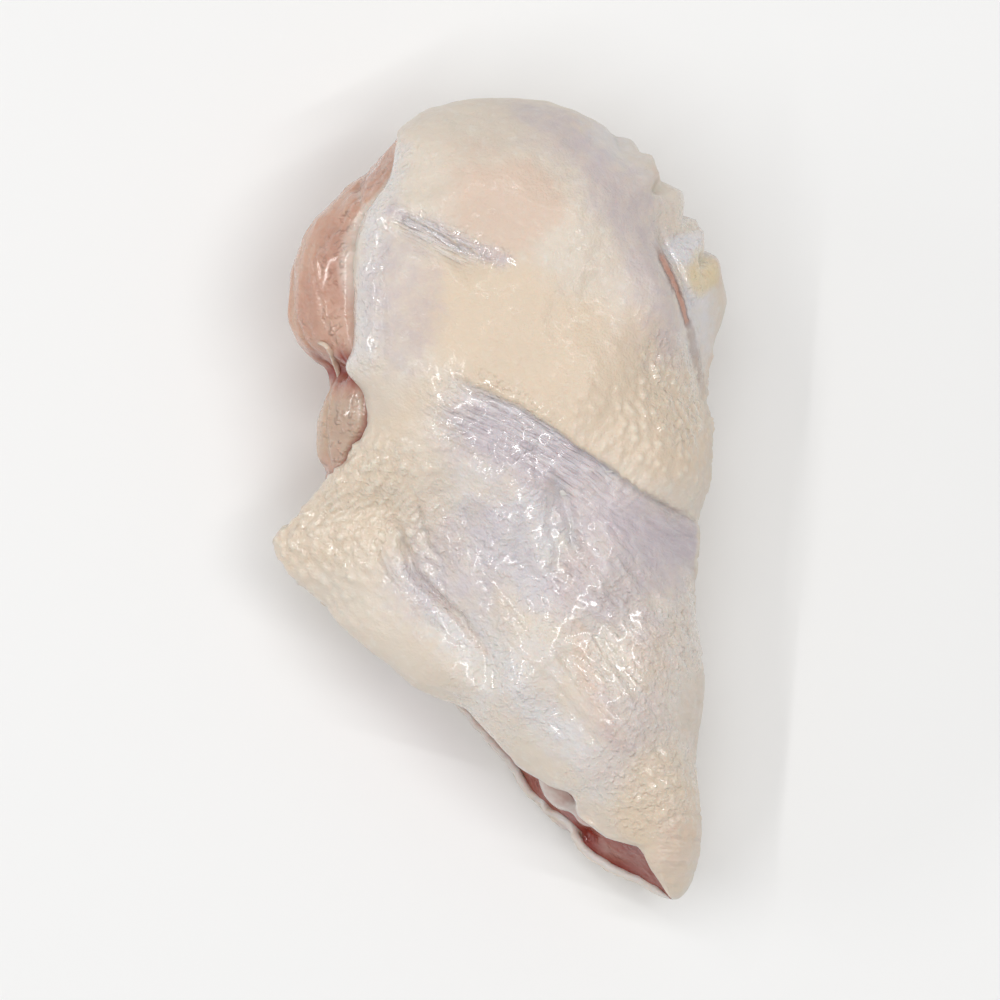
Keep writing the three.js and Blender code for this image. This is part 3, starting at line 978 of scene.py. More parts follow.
def dress_skin(groups: dict[str, bpy.types.NodeTree]) -> bpy.types.Material:
    """The skin's material: cream, with the tints, gloss and wrinkles that its masks ask for, painted
    highlights on pimple tops and wrinkle crests, and painted shade along the slit and under the fold's right
    end.

    Args:
        groups: The shared node groups, by name.

    Returns:
        The material.
    """
    material, maker, nodes = SKIN_FINISH.shader(groups)
    colour = nodes["mottle"].outputs["Color"]
    place = maker.add("ShaderNodeTexCoord").outputs["Object"]
    drift = maker.maths("SUBTRACT", maker.noise(place, 520.0, 5.0, 0.6), 0.5)
    for tint in SKIN_TINTS:
        share = maker.maths("ADD", maker.attribute(tint.mask.value), maker.maths("MULTIPLY", drift, 0.7))
        share = maker.maths("MULTIPLY", maker.ramp(share, 0.08, 0.95), tint.strength)
        colour = maker.mix(share, colour, tint.colour)
    ragged = maker.maths("MULTIPLY", drift, 1.1)
    from_slit = maker.maths("ABSOLUTE", maker.maths("ADD", maker.attribute(Mask.SLIT.value), ragged))
    raw_and_shade = maker.attribute(Mask.RAW.value)
    # Painted shade: dark brown beside the open slit and along its closed stretch.
    edge_shade = maker.maths("MULTIPLY", maker.ramp(from_slit, 0.8, 0.35), maker.maths("MINIMUM", raw_and_shade, 0.85))
    salmon = maker.maths("MULTIPLY", maker.ramp(from_slit, 0.42, 0.2), maker.ramp(raw_and_shade, 0.5, 0.9, 0.0, 0.85))
    # Painted highlight on the pimples' tops.
    pimple = maker.ramp(maker.attribute(Mask.PIMPLE.value), 0.1, 0.9, 0.0, 0.5)
    for share, over in ((edge_shade, SLIT_EDGE_SHADE), (salmon, SLIT_SALMON), (pimple, PIMPLE_TOP_HIGHLIGHT)):
        colour = maker.mix(share, colour, over)
    by_fold = maker.add("ShaderNodeCombineXYZ")
    maker.feed(by_fold.inputs[0], maker.attribute(Mask.ACROSS.value))
    maker.feed(by_fold.inputs[1], maker.attribute(Mask.ALONG.value))
    heights = []
    for kind in DRAWN_WRINKLES:
        where = by_fold.outputs[0] if kind.turn is None else turned(maker, kind.turn)
        drawn = maker.group(groups["strands"], Place=where, Width=kind.width, Length=kind.length)
        here = maker.maths("MULTIPLY", drawn.outputs["Strand"], maker.attribute(kind.mask.value))
        heights.append(maker.maths("MULTIPLY", here, kind.depth))
        # Painted highlight on the wrinkles' crests.
        colour = maker.mix(maker.maths("MULTIPLY", here, kind.paleness), colour, WRINKLE_CREST_SHEEN)
    height = maker.maths("ADD", maker.maths("ADD", heights[0], heights[1]), heights[2])
    glitter = maker.attribute(Mask.GLITTER.value)
    uneven_gloss = maker.ramp(maker.noise(place, 900.0, 3.0), 0.35, 0.65, 0.0, 0.12)
    roughness = maker.maths("ADD", maker.ramp(glitter, 0.0, 1.0, 0.34, 0.17), uneven_gloss)
    for node, socket, value in (
        ("shader", "Base Color", colour),
        ("shader", "Roughness", roughness),
        ("shader", "Coat Weight", maker.ramp(glitter, 0.0, 0.8, 0.1, 1.0)),
        ("relief", "Other Height", height),
        ("relief", "Pucker Depth", maker.ramp(glitter, 0.1, 1.0, 0.04 * MM, 0.2 * MM)),
        ("relief", "Bead Depth", maker.ramp(glitter, 0.05, 0.9, 0.02 * MM, 0.13 * MM)),
    ):
        maker.feed(nodes[node].inputs[socket], value)
    return material


def dress_muscle(groups: dict[str, bpy.types.NodeTree]) -> bpy.types.Material:
    """The muscle's material: fine fibres, with the tints, membrane and dark red that its masks ask for; the
    dark red is blood, partly painted shade in the recesses.

    Args:
        groups: The shared node groups, by name.

    Returns:
        The material.
    """
    material, maker, nodes = MUSCLE_FINISH.shader(groups)
    stretch = maker.add("ShaderNodeMapping")
    stretch.inputs["Scale"].default_value = FIBRE_SCALE
    maker.feed(stretch.inputs["Vector"], maker.add("ShaderNodeTexCoord").outputs["Object"])
    fibres = maker.ramp(maker.noise(stretch.outputs[0], 1.0, 2.0), 0.35, 0.75, 0.0, 0.35)
    colour = maker.mix(fibres, nodes["mottle"].outputs["Color"], FIBRE_CREST)
    for tint in MUSCLE_TINTS:
        share = maker.maths("MULTIPLY", maker.attribute(tint.mask.value), tint.strength)
        colour = maker.mix(share, colour, tint.colour)
    membrane = maker.ramp(maker.attribute(MuscleMask.MEMBRANE.value), 0.1, 0.9, 0.0, 0.85)
    colour = maker.mix(membrane, colour, PALE_MEMBRANE)
    # Dark red: blood, and painted shade in the cleft, under the skin's edge and in the elbow hollow.
    blood_and_shade = maker.maths("MULTIPLY", maker.attribute(DARK_BLOOD_AND_SHADE.mask.value), DARK_BLOOD_AND_SHADE.strength)
    maker.feed(nodes["shader"].inputs["Base Color"], maker.mix(blood_and_shade, colour, DARK_BLOOD_AND_SHADE.colour))
    wet = maker.attribute(MuscleMask.WET.value)
    maker.feed(nodes["relief"].inputs["Bead Depth"], maker.ramp(wet, 0.0, 0.9, 0.04 * MM, 0.3 * MM))
    maker.feed(nodes["shader"].inputs["Coat Weight"], maker.ramp(wet, 0.0, 0.7, 0.6, 1.0))
    return material


def dress_plain(finish: Finish, groups: dict[str, bpy.types.NodeTree]) -> bpy.types.Material:
    """The material of a finish that needs no masks."""
    return finish.shader(groups)[0]


# ---------------------------------------------------------------- patches of colour and texture


@dataclass(frozen=True)
class Patch:
    """A soft-edged oval on the skin, seen from above."""

    centre: tuple[float, float]
    radii: tuple[float, float]
    turn: float = 0.0
    amount: float = 1.0

    def on(self, x: np.ndarray, y: np.ndarray, wander: np.ndarray) -> np.ndarray:
        """How much of the patch each place has.

        Args:
            x: X of the places.
            y: Y of the places.
            wander: Unevenness of the patch's outline, as a share of its size.

        Returns:
            A share from 0 to the patch's amount.
        """
        c, s = math.cos(math.radians(self.turn)), math.sin(math.radians(self.turn))
        dx, dy = x - self.centre[0], y - self.centre[1]
        out = np.hypot((c * dx + s * dy) / self.radii[0], (c * dy - s * dx) / self.radii[1])
        return self.amount * smooth(1.5, 0.45, out + wander)


@dataclass(frozen=True)
class Stripe:
    """A soft-edged stripe along a line on the skin, seen from above."""

    line: Line
    width: float
    amount: float = 1.0

    def on(self, x: np.ndarray, y: np.ndarray, wander: np.ndarray) -> np.ndarray:
        """How much of the stripe each place has.

        Args:
            x: X of the places.
            y: Y of the places.
            wander: Unevenness of the stripe's middle, as a share of its width.

        Returns:
            A share from 0 to the stripe's amount.
        """
        distance, _ = self.line.near(x, y)
        return self.amount * bump(distance + wander * self.width, self.width)


Place = Patch | Stripe


def most_of(places: list[Place], x: np.ndarray, y: np.ndarray, wander: np.ndarray) -> np.ndarray:
    """The strongest of several patches at each place."""
    return np.maximum.reduce([place.on(x, y, wander) for place in places])


@dataclass(frozen=True)
class Weave:
    """Noise that is drawn out: its cell sizes on three axes, in millimetres, and how far it bends."""

    sizes: Triple
    seed: Seed
    bend: Triple = (0.0, 0.0, 0.0)
    layers: int = 1

    def on(self, points: np.ndarray, wander: np.ndarray) -> np.ndarray:
        """The noise at each point.

        Args:
            points: Points, with x, y, z on the last axis.
            wander: Unevenness that bends the pattern.

        Returns:
            Noise of about -1 to 1 for each point.
        """
        place = points / np.array(self.sizes) + wander[..., None] * np.array(self.bend)
        return layered_noise(place, 1.0, self.seed, layers=self.layers)


BY_FOLD = Weave((0.95, 1.0, 1.0), Seed.BY_FOLD, (0.8, 0.0, 0.0))
BY_CREASE = Weave((0.7, 1.0, 1.0), Seed.BY_CREASE)
SLANTING = Weave((9.0, 1.9, 4.0), Seed.SLANTING, (0.25, 0.25, 0.25), 2)
LEVEL = Weave((8.0, 1.35, 8.0), Seed.LEVEL, (0.0, 0.35, 0.0))
LENGTHWISE = Weave((1.8, 6.5, 5.0), Seed.LENGTHWISE, layers=2)
GATHERING = Weave((2.2, 9.0, 9.0), Seed.GATHERING, (0.2, 0.2, 0.2), 2)
BESIDE_MUSCLE = Weave((1.0, 7.0, 3.0), Seed.BESIDE_MUSCLE, (0.5, 0.0, 0.0))
CRINKLE = Weave((3.4, 1.5, 3.4), Seed.CRINKLE, (0.4, 0.4, 0.4), 2)
UNDER_CREASE = Weave((15.0, 6.0, 15.0), Seed.UNDER_CREASE, (0.18, 0.18, 0.18))


@dataclass(frozen=True)
class Relief:
    """How high each kind of fine relief stands on the skin, in millimetres."""

    pimples: float = 0.5
    by_fold: float = 0.2
    by_crease: float = 0.2
    slanting: float = 0.26
    level: float = 0.3
    lengthwise: float = 0.32
    gathering: float = 0.6
    beside_muscle: float = 0.22
    body_ridge: float = 0.7
    soft: float = 0.2
    pucker: float = 0.12
    crinkle: float = 0.24
    under_creases: float = 0.7


RELIEF = Relief()

YELLOW_PLACES: list[Place] = [
    Patch((7.0, 16.5), (19.0, 8.5), -24.0),
    Patch((19.5, 9.0), (8.0, 8.5), -30.0, 0.8),
    Patch((-18.5, -1.5), (11.0, 7.5), 40.0, 0.75),
    Patch((-10.0, 9.0), (7.0, 5.0), 30.0, 0.6),
    Patch((19.5, -39.0), (5.5, 9.5), 10.0),
]
LILAC_AND_SHADE_PLACES: list[Place] = [
    Stripe(Line([(4.5, 47.0), (10.5, 41.0), (14.6, 33.5), (17.2, 25.8), (19.0, 19.0)]), 4.8, 0.55),
    Stripe(FOLDS.shoulder, 1.3, 0.6),
    Patch((-3.5, -8.5), (8.0, 9.5), -60.0, 0.5),
    Patch((13.5, -8.5), (9.5, 8.0), 0.0, 0.6),
    Patch((-12.8, 23.0), (4.5, 10.0), 0.0, 0.45),
    Patch((14.0, -27.0), (6.0, 5.0), 0.0, 0.4),
    # Painted shade: full lilac in a strip right under the fold's right end, where the fold shades the skin.
    Patch((20.5, -4.6), (7.0, 2.2), -25.0, 1.0),
]
BELOW_FOLD = Stripe(Line([(-9, 12.5), (-2, 8.5), (6, 3), (12, -1), (18, -4), (26, -7)]), 6.5, 1.0)
PINK_PLACES: list[Place] = [
    Patch((0.5, 35.2), (7.0, 5.5), -20.0, 0.95),
    Patch((-4.0, 40.5), (5.0, 3.5), 20.0, 0.4),
    Stripe(FLAP_CREASE, 0.8, 0.6),
    Patch((17.5, -20.0), (3.5, 5.0), 0.0, 0.45),
    Patch((12.5, -33.0), (4.0, 3.0), -30.0, 0.4),
    Stripe(Line([(8.8, -16.0), (9.8, -21.0), (11.5, -25.5), (14.0, -29.5)]), 1.7, 0.7),
    Patch((8.2, -8.5), (2.4, 4.5), 0.0, 0.5),
    Patch((-9.0, -3.0), (3.0, 4.0), 0.0, 0.3),
    Patch((21.5, -42.5), (3.0, 4.0), 0.0, 0.5),
    Patch((26.5, 27.4), (1.0, 2.2), 0.0, 0.8),
    Patch((26.2, 15.5), (1.1, 2.6), 0.0, 0.7),
    Patch((18.8, 39.6), (1.2, 1.4), 0.0, 0.7),
    Patch((22.7, 35.3), (1.0, 1.2), 0.0, 0.7),
    Patch((24.9, 31.3), (1.0, 1.2), 0.0, 0.7),
]
WHITE_PLACES: list[Place] = [
    Stripe(Line([(-11, -9.5), (-5, -15), (0, -21), (7, -28), (12, -33)]), 4.2, 0.65),
    Patch((1.0, -21.0), (7.0, 6.0), -30.0, 0.45),
    Patch((2.0, -6.0), (5.5, 7.5), -15.0, 0.75),
    Patch((-3.0, 1.0), (4.0, 5.0), -30.0, 0.45),
    Stripe(Line([(-13.5, 40.0), (-16.0, 33.0), (-17.5, 25.0), (-17.0, 17.0)]), 2.6, 0.6),
    Patch((12.5, 43.0), (5.5, 3.5), -40.0, 0.6),
    Patch((-4.0, -12.0), (4.0, 6.0), -60.0, 0.5),
    Patch((24.0, 22.0), (3.0, 7.0), 0.0, 0.7),
    Patch((22.0, 29.8), (2.6, 2.0), 0.0, 0.9),
]
GLITTER_PLACES: list[Place] = [
    Patch((-2.0, 8.5), (9.0, 4.5), -30.0),
    Patch((21.0, 13.5), (5.0, 7.0), 0.0, 0.8),
    Patch((16.0, -18.0), (8.0, 10.0), 0.0, 0.9),
    Patch((-8.0, -4.0), (5.0, 7.0), 0.0, 0.7),
    Patch((3.0, -9.0), (9.0, 10.0), 0.0, 0.75),
    Patch((-18.0, -2.0), (9.0, 7.0), 40.0, 0.75),
    Patch((0.0, -23.0), (8.0, 6.0), -30.0, 0.6),
    Patch((16.0, -33.0), (8.0, 8.0), 0.0, 0.85),
    Stripe(FOLDS.shoulder, 1.6, 1.0),
    Stripe(Line([(-13.0, 41.0), (-15.5, 33.0), (-17.5, 25.0), (-16.5, 16.0)]), 2.2, 0.9),
    Stripe(Line([(-12.0, -9.0), (-6.0, -14.0), (-1.0, -20.0), (6.0, -27.0)]), 3.0, 0.9),
    Patch((22.0, 30.0), (4.0, 7.0), 0.0, 0.7),
]
GATHERED = Patch((21.0, 37.5), (5.5, 9.0), 28.0)
# Lumps and notches of the gathered skin: x, y, radius and height.
GATHERS = (
    (17.4, 42.7, 2.4, 0.9), (21.2, 37.3, 2.0, 1.0), (23.6, 33.7, 1.8, 0.9), (26.6, 29.6, 1.6, 0.6),
    (19.0, 39.8, 1.0, -1.3), (22.7, 35.4, 0.8, -1.0), (24.9, 31.4, 0.8, -1.0), (14.6, 45.4, 0.9, -0.8),
)
MUSCLE_SIDE = Stripe(Line([(-12.5, 41.0), (-14.0, 34.0), (-15.5, 26.0), (-15.5, 18.0)]), 2.6)
BODY_RIDGE = Stripe(Line([(3.2, 1.5), (3.7, -3.0), (4.8, -8.0)]), 1.7)
SLANTING_PLACE = Patch((14.0, -17.0), (12.0, 18.0), 10.0)
LENGTHWISE_PLACE = Patch((0.0, -5.0), (9.0, 12.0), -20.0)
SLANT_PLACES: list[Place] = [
    Patch((14.0, -16.0), (9.0, 15.0), 10.0),
    Patch((-6.0, -6.0), (6.0, 9.0), 20.0, 0.6),
]
PIMPLE_PLACES: list[Place] = [
    Patch((20.0, 9.0), (9.0, 9.5), -30.0, 0.85),
    Patch((8.0, 11.0), (10.0, 4.0), -26.0, 0.4),
    Patch((-17.5, -3.0), (13.0, 9.5), 40.0, 1.0),
    Patch((-9.0, -13.5), (7.0, 4.0), -40.0, 0.5),
    Patch((-9.0, 4.0), (6.0, 6.0), 0.0, 0.5),
    Patch((20.0, -38.0), (5.5, 9.0), 0.0, 0.5),
    Patch((2.0, 31.0), (5.0, 3.0), 0.0, 0.35),
]


# ---------------------------------------------------------------- the skin


@dataclass
class Skin:
    """The skin: a C round the muscle, with two cut edges on the left."""

    along: int = 290
    top_columns: int = 198
    under_columns: int = 102
    thickness: float = 1.1
    inner_columns: int = 32
    rim_columns: int = 3
    pimple_spacing: float = 1.5
    edge_wander: float = 0.45
    ragged: Pair = (-44.0, -33.0)
    nub: Pair = (44.6, 1.8)
    tongue: Triple = (15.2, 1.7, 2.0)
    curl: float = 0.8
    section_steps: int = 160
    t: np.ndarray = field(init=False)
    outer: np.ndarray = field(init=False)
    normals: np.ndarray = field(init=False)
    spine: np.ndarray = field(init=False)
    seen: np.ndarray = field(init=False)
    masks: dict[str, np.ndarray] = field(init=False)

    def __post_init__(self) -> None:
        """Work out the outer surface as soon as the sizes are known."""
        self.t = even_stations(self.along)
        self.shape()
        self.tint()
        self.roughen()
        self.wander_edges()
        self.outer[..., 2] = np.maximum(self.outer[..., 2], 0.0)

    def shape(self) -> None:
        """Lay out the outer surface, with the form's own folds, and how far each place is seen."""
        s = FORM.sizes(self.t)
        x, z = FORM.skin_section(self.t, steps=self.section_steps)
        y = np.broadcast_to(SPAN.y_at(self.t)[:, None], x.shape)
        middle = (s["crest_z"] + s["belly_z"]) / 2.0
        thick = smooth(0.0, 12.0, s["crest_z"] - s["belly_z"])
        reach = s["right_z"]
        half = x.shape[1] // 2
        over = np.arange(x.shape[1])[None, :] < half
        upper = np.where(over, smooth(0.0, 0.45, (z - reach) / (s["crest_z"] - reach + 1e-6)), 0.0)
        lower = np.where(over, 0.0, smooth(0.0, 0.7, (reach - z) / (reach - s["belly_z"] + 1e-6)))
        out = unit(np.stack([x - s["crest_x"], (z - middle) * 1.4], axis=-1))
        uneven = unevenness(x, y, z) * thick
        relief = thick * (upper * FOLDS.above(x, y) + lower * FOLDS.below(x, y))
        round_side = (~over) & (x > s["crest_x"])
        seen = np.where(over, 1.0, np.where(round_side, smooth(-9.0, -1.0, z - reach), 0.0))
        height = np.maximum(0.0, z + uneven * out[..., 1] + relief)
        grid = np.stack([x + uneven * out[..., 0], y, height, seen], axis=-1)
        top = evenly(grid[:, : half + 1], self.top_columns)
        under = evenly(grid[:, half:], self.under_columns + 1)[:, 1:]
        grid = np.concatenate([top, under], axis=1)
        self.outer, self.seen = grid[..., :3], grid[..., 3]
        self.spine = np.concatenate([s["crest_x"], SPAN.y_at(self.t)[:, None], middle], axis=1)
        self.normals = normals_of(self.outer, self.spine)

    def tint(self) -> None:
        """Work out the colour and texture masks from the named patches."""
        x, y, z = np.moveaxis(self.outer, -1, 0)
        rough_edge = 0.32 * layered_noise(self.outer, 6.0, Seed.PATCH_EDGE, layers=4)
        over, under = self.seen, 1.0 - self.seen
        cloud = layered_noise(self.outer, 9.0, Seed.CLOUD)
        fold, fold_along = FOLDS.main.near(x, y)
        above_fold = np.maximum(smooth(-0.5, 0.3, fold), 1.0 - smooth(0.0, 0.2, fold_along))
        flap_side = smooth(-3.0, -8.0, x) * smooth(9.0, 3.0, y) + smooth(-24.0, -30.0, y)
        yellow = most_of(YELLOW_PLACES, x, y, rough_edge) * np.maximum(above_fold, flap_side)
        below = smooth(0.3, -0.5, fold) * smooth(0.0, 0.26, fold_along + 0.2 * rough_edge)
        below = below * BELOW_FOLD.on(x, y, 0.6 * rough_edge) * (1.0 + 0.25 * cloud)
        # The lilac mask also carries the painted shade under the fold's right end.
        lilac_and_shade = np.maximum(most_of(LILAC_AND_SHADE_PLACES, x, y, rough_edge), below)
        lilac_and_shade = lilac_and_shade * (0.1 + 0.9 * self.facing_up(rough_edge))
        white_edge = bump(self.from_upper_edge(), 1.1) * (0.3 + 0.35 * self.raggedness(y))
        white = np.maximum(most_of(WHITE_PLACES, x, y, rough_edge), white_edge)
        glitter = np.maximum(0.08, most_of(GLITTER_PLACES, x, y, rough_edge))
        slit, slit_along = FOLDS.slit.near(x, y)
        opened = between(slit_along, 0.2, 0.3, 0.52, 0.62)
        creased = 0.4 * between(slit_along, 0.2, 0.3, 0.8, 0.98)
        fat = np.hypot(np.hypot(x - FOLDS.fat_lump[0], y - FOLDS.fat_lump[1]), 0.5 * (z - 20.5))
        fat = fat + 2.6 * rough_edge
        # Each mask on the side that is seen, and on the underside, where nothing is known of it.
        both = {
            Mask.YELLOW: (yellow, 0.35 + 0.4 * smooth(-0.3, 0.6, cloud)),
            Mask.LILAC: (lilac_and_shade, 0.5 * smooth(0.1, 0.8, -cloud)),
            Mask.PINK: (
                most_of(PINK_PLACES, x, y, rough_edge),
                0.6 * smooth(0.1, 0.8, layered_noise(self.outer, 7.0, Seed.UNDER_PINK)),
            ),
            Mask.WHITE: (white, 0.4 * smooth(0.1, 0.8, layered_noise(self.outer, 6.0, Seed.UNDER_WHITE))),
            # Raw flesh in the open slit, with the painted shade of its edges and of its closed stretch.
            Mask.RAW: (np.maximum(opened, creased), 0.0),
            Mask.FAT: (smooth(3.8, 1.0, fat), 0.0),
            Mask.GLITTER: (
                glitter, 0.3 + 0.4 * smooth(-0.2, 0.6, layered_noise(self.outer, 8.0, Seed.UNDER_GLITTER))
            ),
        }
        self.masks = {mask.value: over * seen + under * unseen for mask, (seen, unseen) in both.items()}
        self.masks[Mask.SLIT.value] = slit
        self.wrinkle_masks(rough_edge)

    def wrinkle_masks(self, rough_edge: np.ndarray) -> None:
        """Work out where the shader draws its fine wrinkles, and their course beside the folds.

        Args:
            rough_edge: Unevenness of the patches' outlines.
        """
        x, y, _ = np.moveaxis(self.outer, -1, 0)
        over = self.seen
        fold, fold_along = FOLDS.main.near(x, y)
        crease, crease_along = FOLDS.shoulder.near(x, y)
        below_fold = smooth(0.2, -0.3, fold) * bump(np.minimum(fold + 2.0, 0.0), 4.5)
        below_fold = below_fold * smooth(0.0, 0.2, fold_along + 0.2 * rough_edge)
        below_fold = below_fold * (1.0 - 0.65 * smooth(0.5, 0.75, fold_along))
        by_crease = bump(crease + 0.5, 1.5) * between(crease_along, 0.0, 0.1, 0.6, 0.9)
        nearer_crease = np.abs(crease) < np.abs(fold)
        streak = np.where(nearer_crease, by_crease, below_fold)
        self.masks[Mask.STREAK.value] = over * streak * self.facing_up(rough_edge)
        self.masks[Mask.ACROSS.value] = np.where(nearer_crease, crease, fold)
        self.masks[Mask.ALONG.value] = np.where(nearer_crease, 16.0 * crease_along + 60.0, 40.0 * fold_along)
        self.masks[Mask.SLANT.value] = over * most_of(SLANT_PLACES, x, y, rough_edge)
        level = smooth(15.5, 20.0, x + 2.0 * rough_edge) * smooth(2.0, -3.0, y)
        self.masks[Mask.LEVEL.value] = over * level * (0.3 + 0.7 * self.facing_up(rough_edge))

    def facing_up(self, wander: np.ndarray) -> np.ndarray:
        """How far the smooth surface faces up: 1 where it does, falling to 0 on the steep sides."""
        return smooth(0.08, 0.5, self.normals[..., 2] + 0.3 * wander)

    def from_upper_edge(self) -> np.ndarray:
        """Distance of every place from the upper cut edge, round the section."""
        steps = np.linalg.norm(np.diff(self.outer, axis=1), axis=-1)
        return np.concatenate([np.zeros((len(steps), 1)), np.cumsum(steps, axis=1)], axis=1)

    def raggedness(self, y: np.ndarray) -> np.ndarray:
        """How ragged the cut edges are at y: 1 in the torn stretch near the elbow, 0 elsewhere."""
        start, end = self.ragged
        return between(y, start - 2.0, start, end, end + 3.0)

    def surface_places(self) -> tuple[np.ndarray, np.ndarray]:
        """Places on the surface by length: round from the right side, and along Y."""
        run = self.from_upper_edge()
        return run - run[:, self.top_columns - 1][:, None], self.outer[..., 1]

    def pimples(self) -> np.ndarray:
        """The small domes round the feather pits: 0 between them and up to 1 on top."""
        around, along = self.surface_places()
        warp = layered_noise(self.outer, 4.0, Seed.PIMPLE_WARP, layers=2)
        turned_u = around * 0.8 + along * 0.6 + 0.6 * warp
        turned_v = along * 0.8 - around * 0.6 - 0.5 * warp
        u, v = turned_u / self.pimple_spacing, turned_v / (self.pimple_spacing * 0.86)
        height = np.zeros(u.shape)
        for du in (-1, 0, 1):
            cu = np.floor(u) + du
            shifted = v + 0.5 * (cu % 2)
            for dv in (-1, 0, 1):
                cv = np.floor(shifted) + dv
                pu = cu + 0.5 + 0.7 * (hashed(cu, cv, seed=Seed.PIMPLE_AROUND) - 0.5)
                pv = cv + 0.5 + 0.7 * (hashed(cu, cv, seed=Seed.PIMPLE_ALONG) - 0.5)
                tall = 0.3 + 0.7 * hashed(cu, cv, seed=Seed.PIMPLE_HEIGHT)
                wide = 0.3 + 0.1 * hashed(cu, cv, seed=Seed.PIMPLE_WIDTH)
                height = np.maximum(height, tall * bump(np.hypot(u - pu, 0.9 * (shifted - pv)), wide))
        return height

    def wrinkles(self, wander: np.ndarray, edge: np.ndarray) -> np.ndarray:
        """Fine wrinkles and ridges on the side that is seen.

        Args:
            wander: Unevenness that bends them.
            edge: Unevenness of the outlines of their places.

        Returns:
            The height they add, in millimetres.
        """
        x, y, z = np.moveaxis(self.outer, -1, 0)
        over, flat = self.seen, np.zeros_like(self.seen)
        fold, fold_along = FOLDS.main.near(x, y)
        by_fold = BY_FOLD.on(points_of(fold, 22.0 * fold_along, flat), wander)
        by_fold = by_fold * smooth(0.1, -0.9, fold) * bump(np.minimum(fold + 1.0, 0.0), 6.0)
        by_fold = by_fold * smooth(0.0, 0.08, fold_along) * (1.0 - 0.6 * smooth(0.5, 0.75, fold_along))
        crease, crease_along = FOLDS.shoulder.near(x, y)
        by_crease = BY_CREASE.on(points_of(crease, 9.0 * crease_along, flat), wander)
        by_crease = by_crease * bump(crease, 1.8) * (1.0 - smooth(0.7, 0.95, crease_along))
        slanting = SLANTING.on(points_of(x - 1.2 * y, 1.2 * x + y, z), wander)
        level = -smooth(0.22, 0.0, np.abs(LEVEL.on(self.outer, wander)))
        level = level * smooth(16.5, 22.0, x) * smooth(4.0, -2.0, y)
        lengthwise = LENGTHWISE.on(self.outer, wander)
        beside_muscle = BESIDE_MUSCLE.on(self.outer, wander)
        return RELIEF.level * level + over * (
            RELIEF.by_fold * by_fold
            + RELIEF.by_crease * by_crease
            + RELIEF.slanting * slanting * SLANTING_PLACE.on(x, y, edge)
            + RELIEF.lengthwise * lengthwise * LENGTHWISE_PLACE.on(x, y, edge)
            + RELIEF.beside_muscle * beside_muscle * MUSCLE_SIDE.on(x, y, edge)
            + RELIEF.body_ridge * BODY_RIDGE.on(x, y, edge)
        )

    def gathers(self, wander: np.ndarray, edge: np.ndarray) -> np.ndarray:
        """The gathered skin at the upper right: fine pleats, and the named lumps and notches.

        Args:
            wander: Unevenness that bends them.
            edge: Unevenness of their place's outline.

        Returns:
            The height they add, in millimetres.
        """
        x, y, z = np.moveaxis(self.outer, -1, 0)
        pleats = GATHERING.on(points_of(y - 0.5 * x, x + 0.5 * y, z), wander)
        height = RELIEF.gathering * pleats * GATHERED.on(x, y, edge)
        slanted = 0.3 * (z - 14.0) + 0.6 * wander
        upward = smooth(8.0, 15.0, z + wander)
        for lump_x, lump_y, radius, tall in GATHERS:
            height += tall * bump(np.hypot(x - lump_x, y - lump_y + slanted), radius) * upward
        return self.seen * height

    def underside(self, wander: np.ndarray) -> np.ndarray:
        """Crinkles and creases of the skin underneath."""
        creases = smooth(0.09, 0.0, np.abs(UNDER_CREASE.on(self.outer, wander)))
        creases = creases * smooth(-0.3, 0.4, layered_noise(self.outer, 14.0, Seed.UNDER_CREASED))
        return RELIEF.crinkle * CRINKLE.on(self.outer, wander) - RELIEF.under_creases * creases

    def roughen(self) -> None:
        """Add pimples, wrinkles and puckers to the outer surface."""
        x, y, _ = np.moveaxis(self.outer, -1, 0)
        over, under = self.seen, 1.0 - self.seen
        wander = layered_noise(self.outer, 5.0, Seed.WANDER)
        edge = 0.3 * layered_noise(self.outer, 5.0, Seed.TEXTURE_EDGE)
        soft = layered_noise(self.outer, 6.0, Seed.SOFT)
        pimple = self.pimples()
        bumpy = over * most_of(PIMPLE_PLACES, x, y, edge) + 0.16
        bumpy = bumpy + 0.35 * under * smooth(-0.2, 0.5, soft)
        pucker = layered_noise(self.outer * np.array([1.0, 0.7, 1.0]), 1.9, Seed.PUCKER, layers=2)
        height = (
            RELIEF.pimples * bumpy * (pimple - 0.25)
            + self.wrinkles(wander, edge)
            + self.gathers(wander, edge)
            + RELIEF.soft * soft
            + RELIEF.pucker * pucker
            + over * FOLDS.sharp_creases(x, y, wander)
            + under * self.underside(wander)
        )
        # The pimples' height, which the shader turns into a painted highlight on their tops.
        self.masks[Mask.PIMPLE.value] = pimple * bumpy
        fold, fold_along = FOLDS.main.near(x, y)
        lap = over * bump(fold - 0.4, 0.6) * smooth(0.3, 0.5, fold_along)
        fade = smooth(0.0, 9.0, np.linalg.norm(self.outer - self.spine[:, None, :], axis=-1))
        self.outer = self.outer + self.normals * (height * fade)[..., None]
        self.outer[..., 0] -= 0.25 * lap
        self.outer[..., 1] -= 0.5 * lap

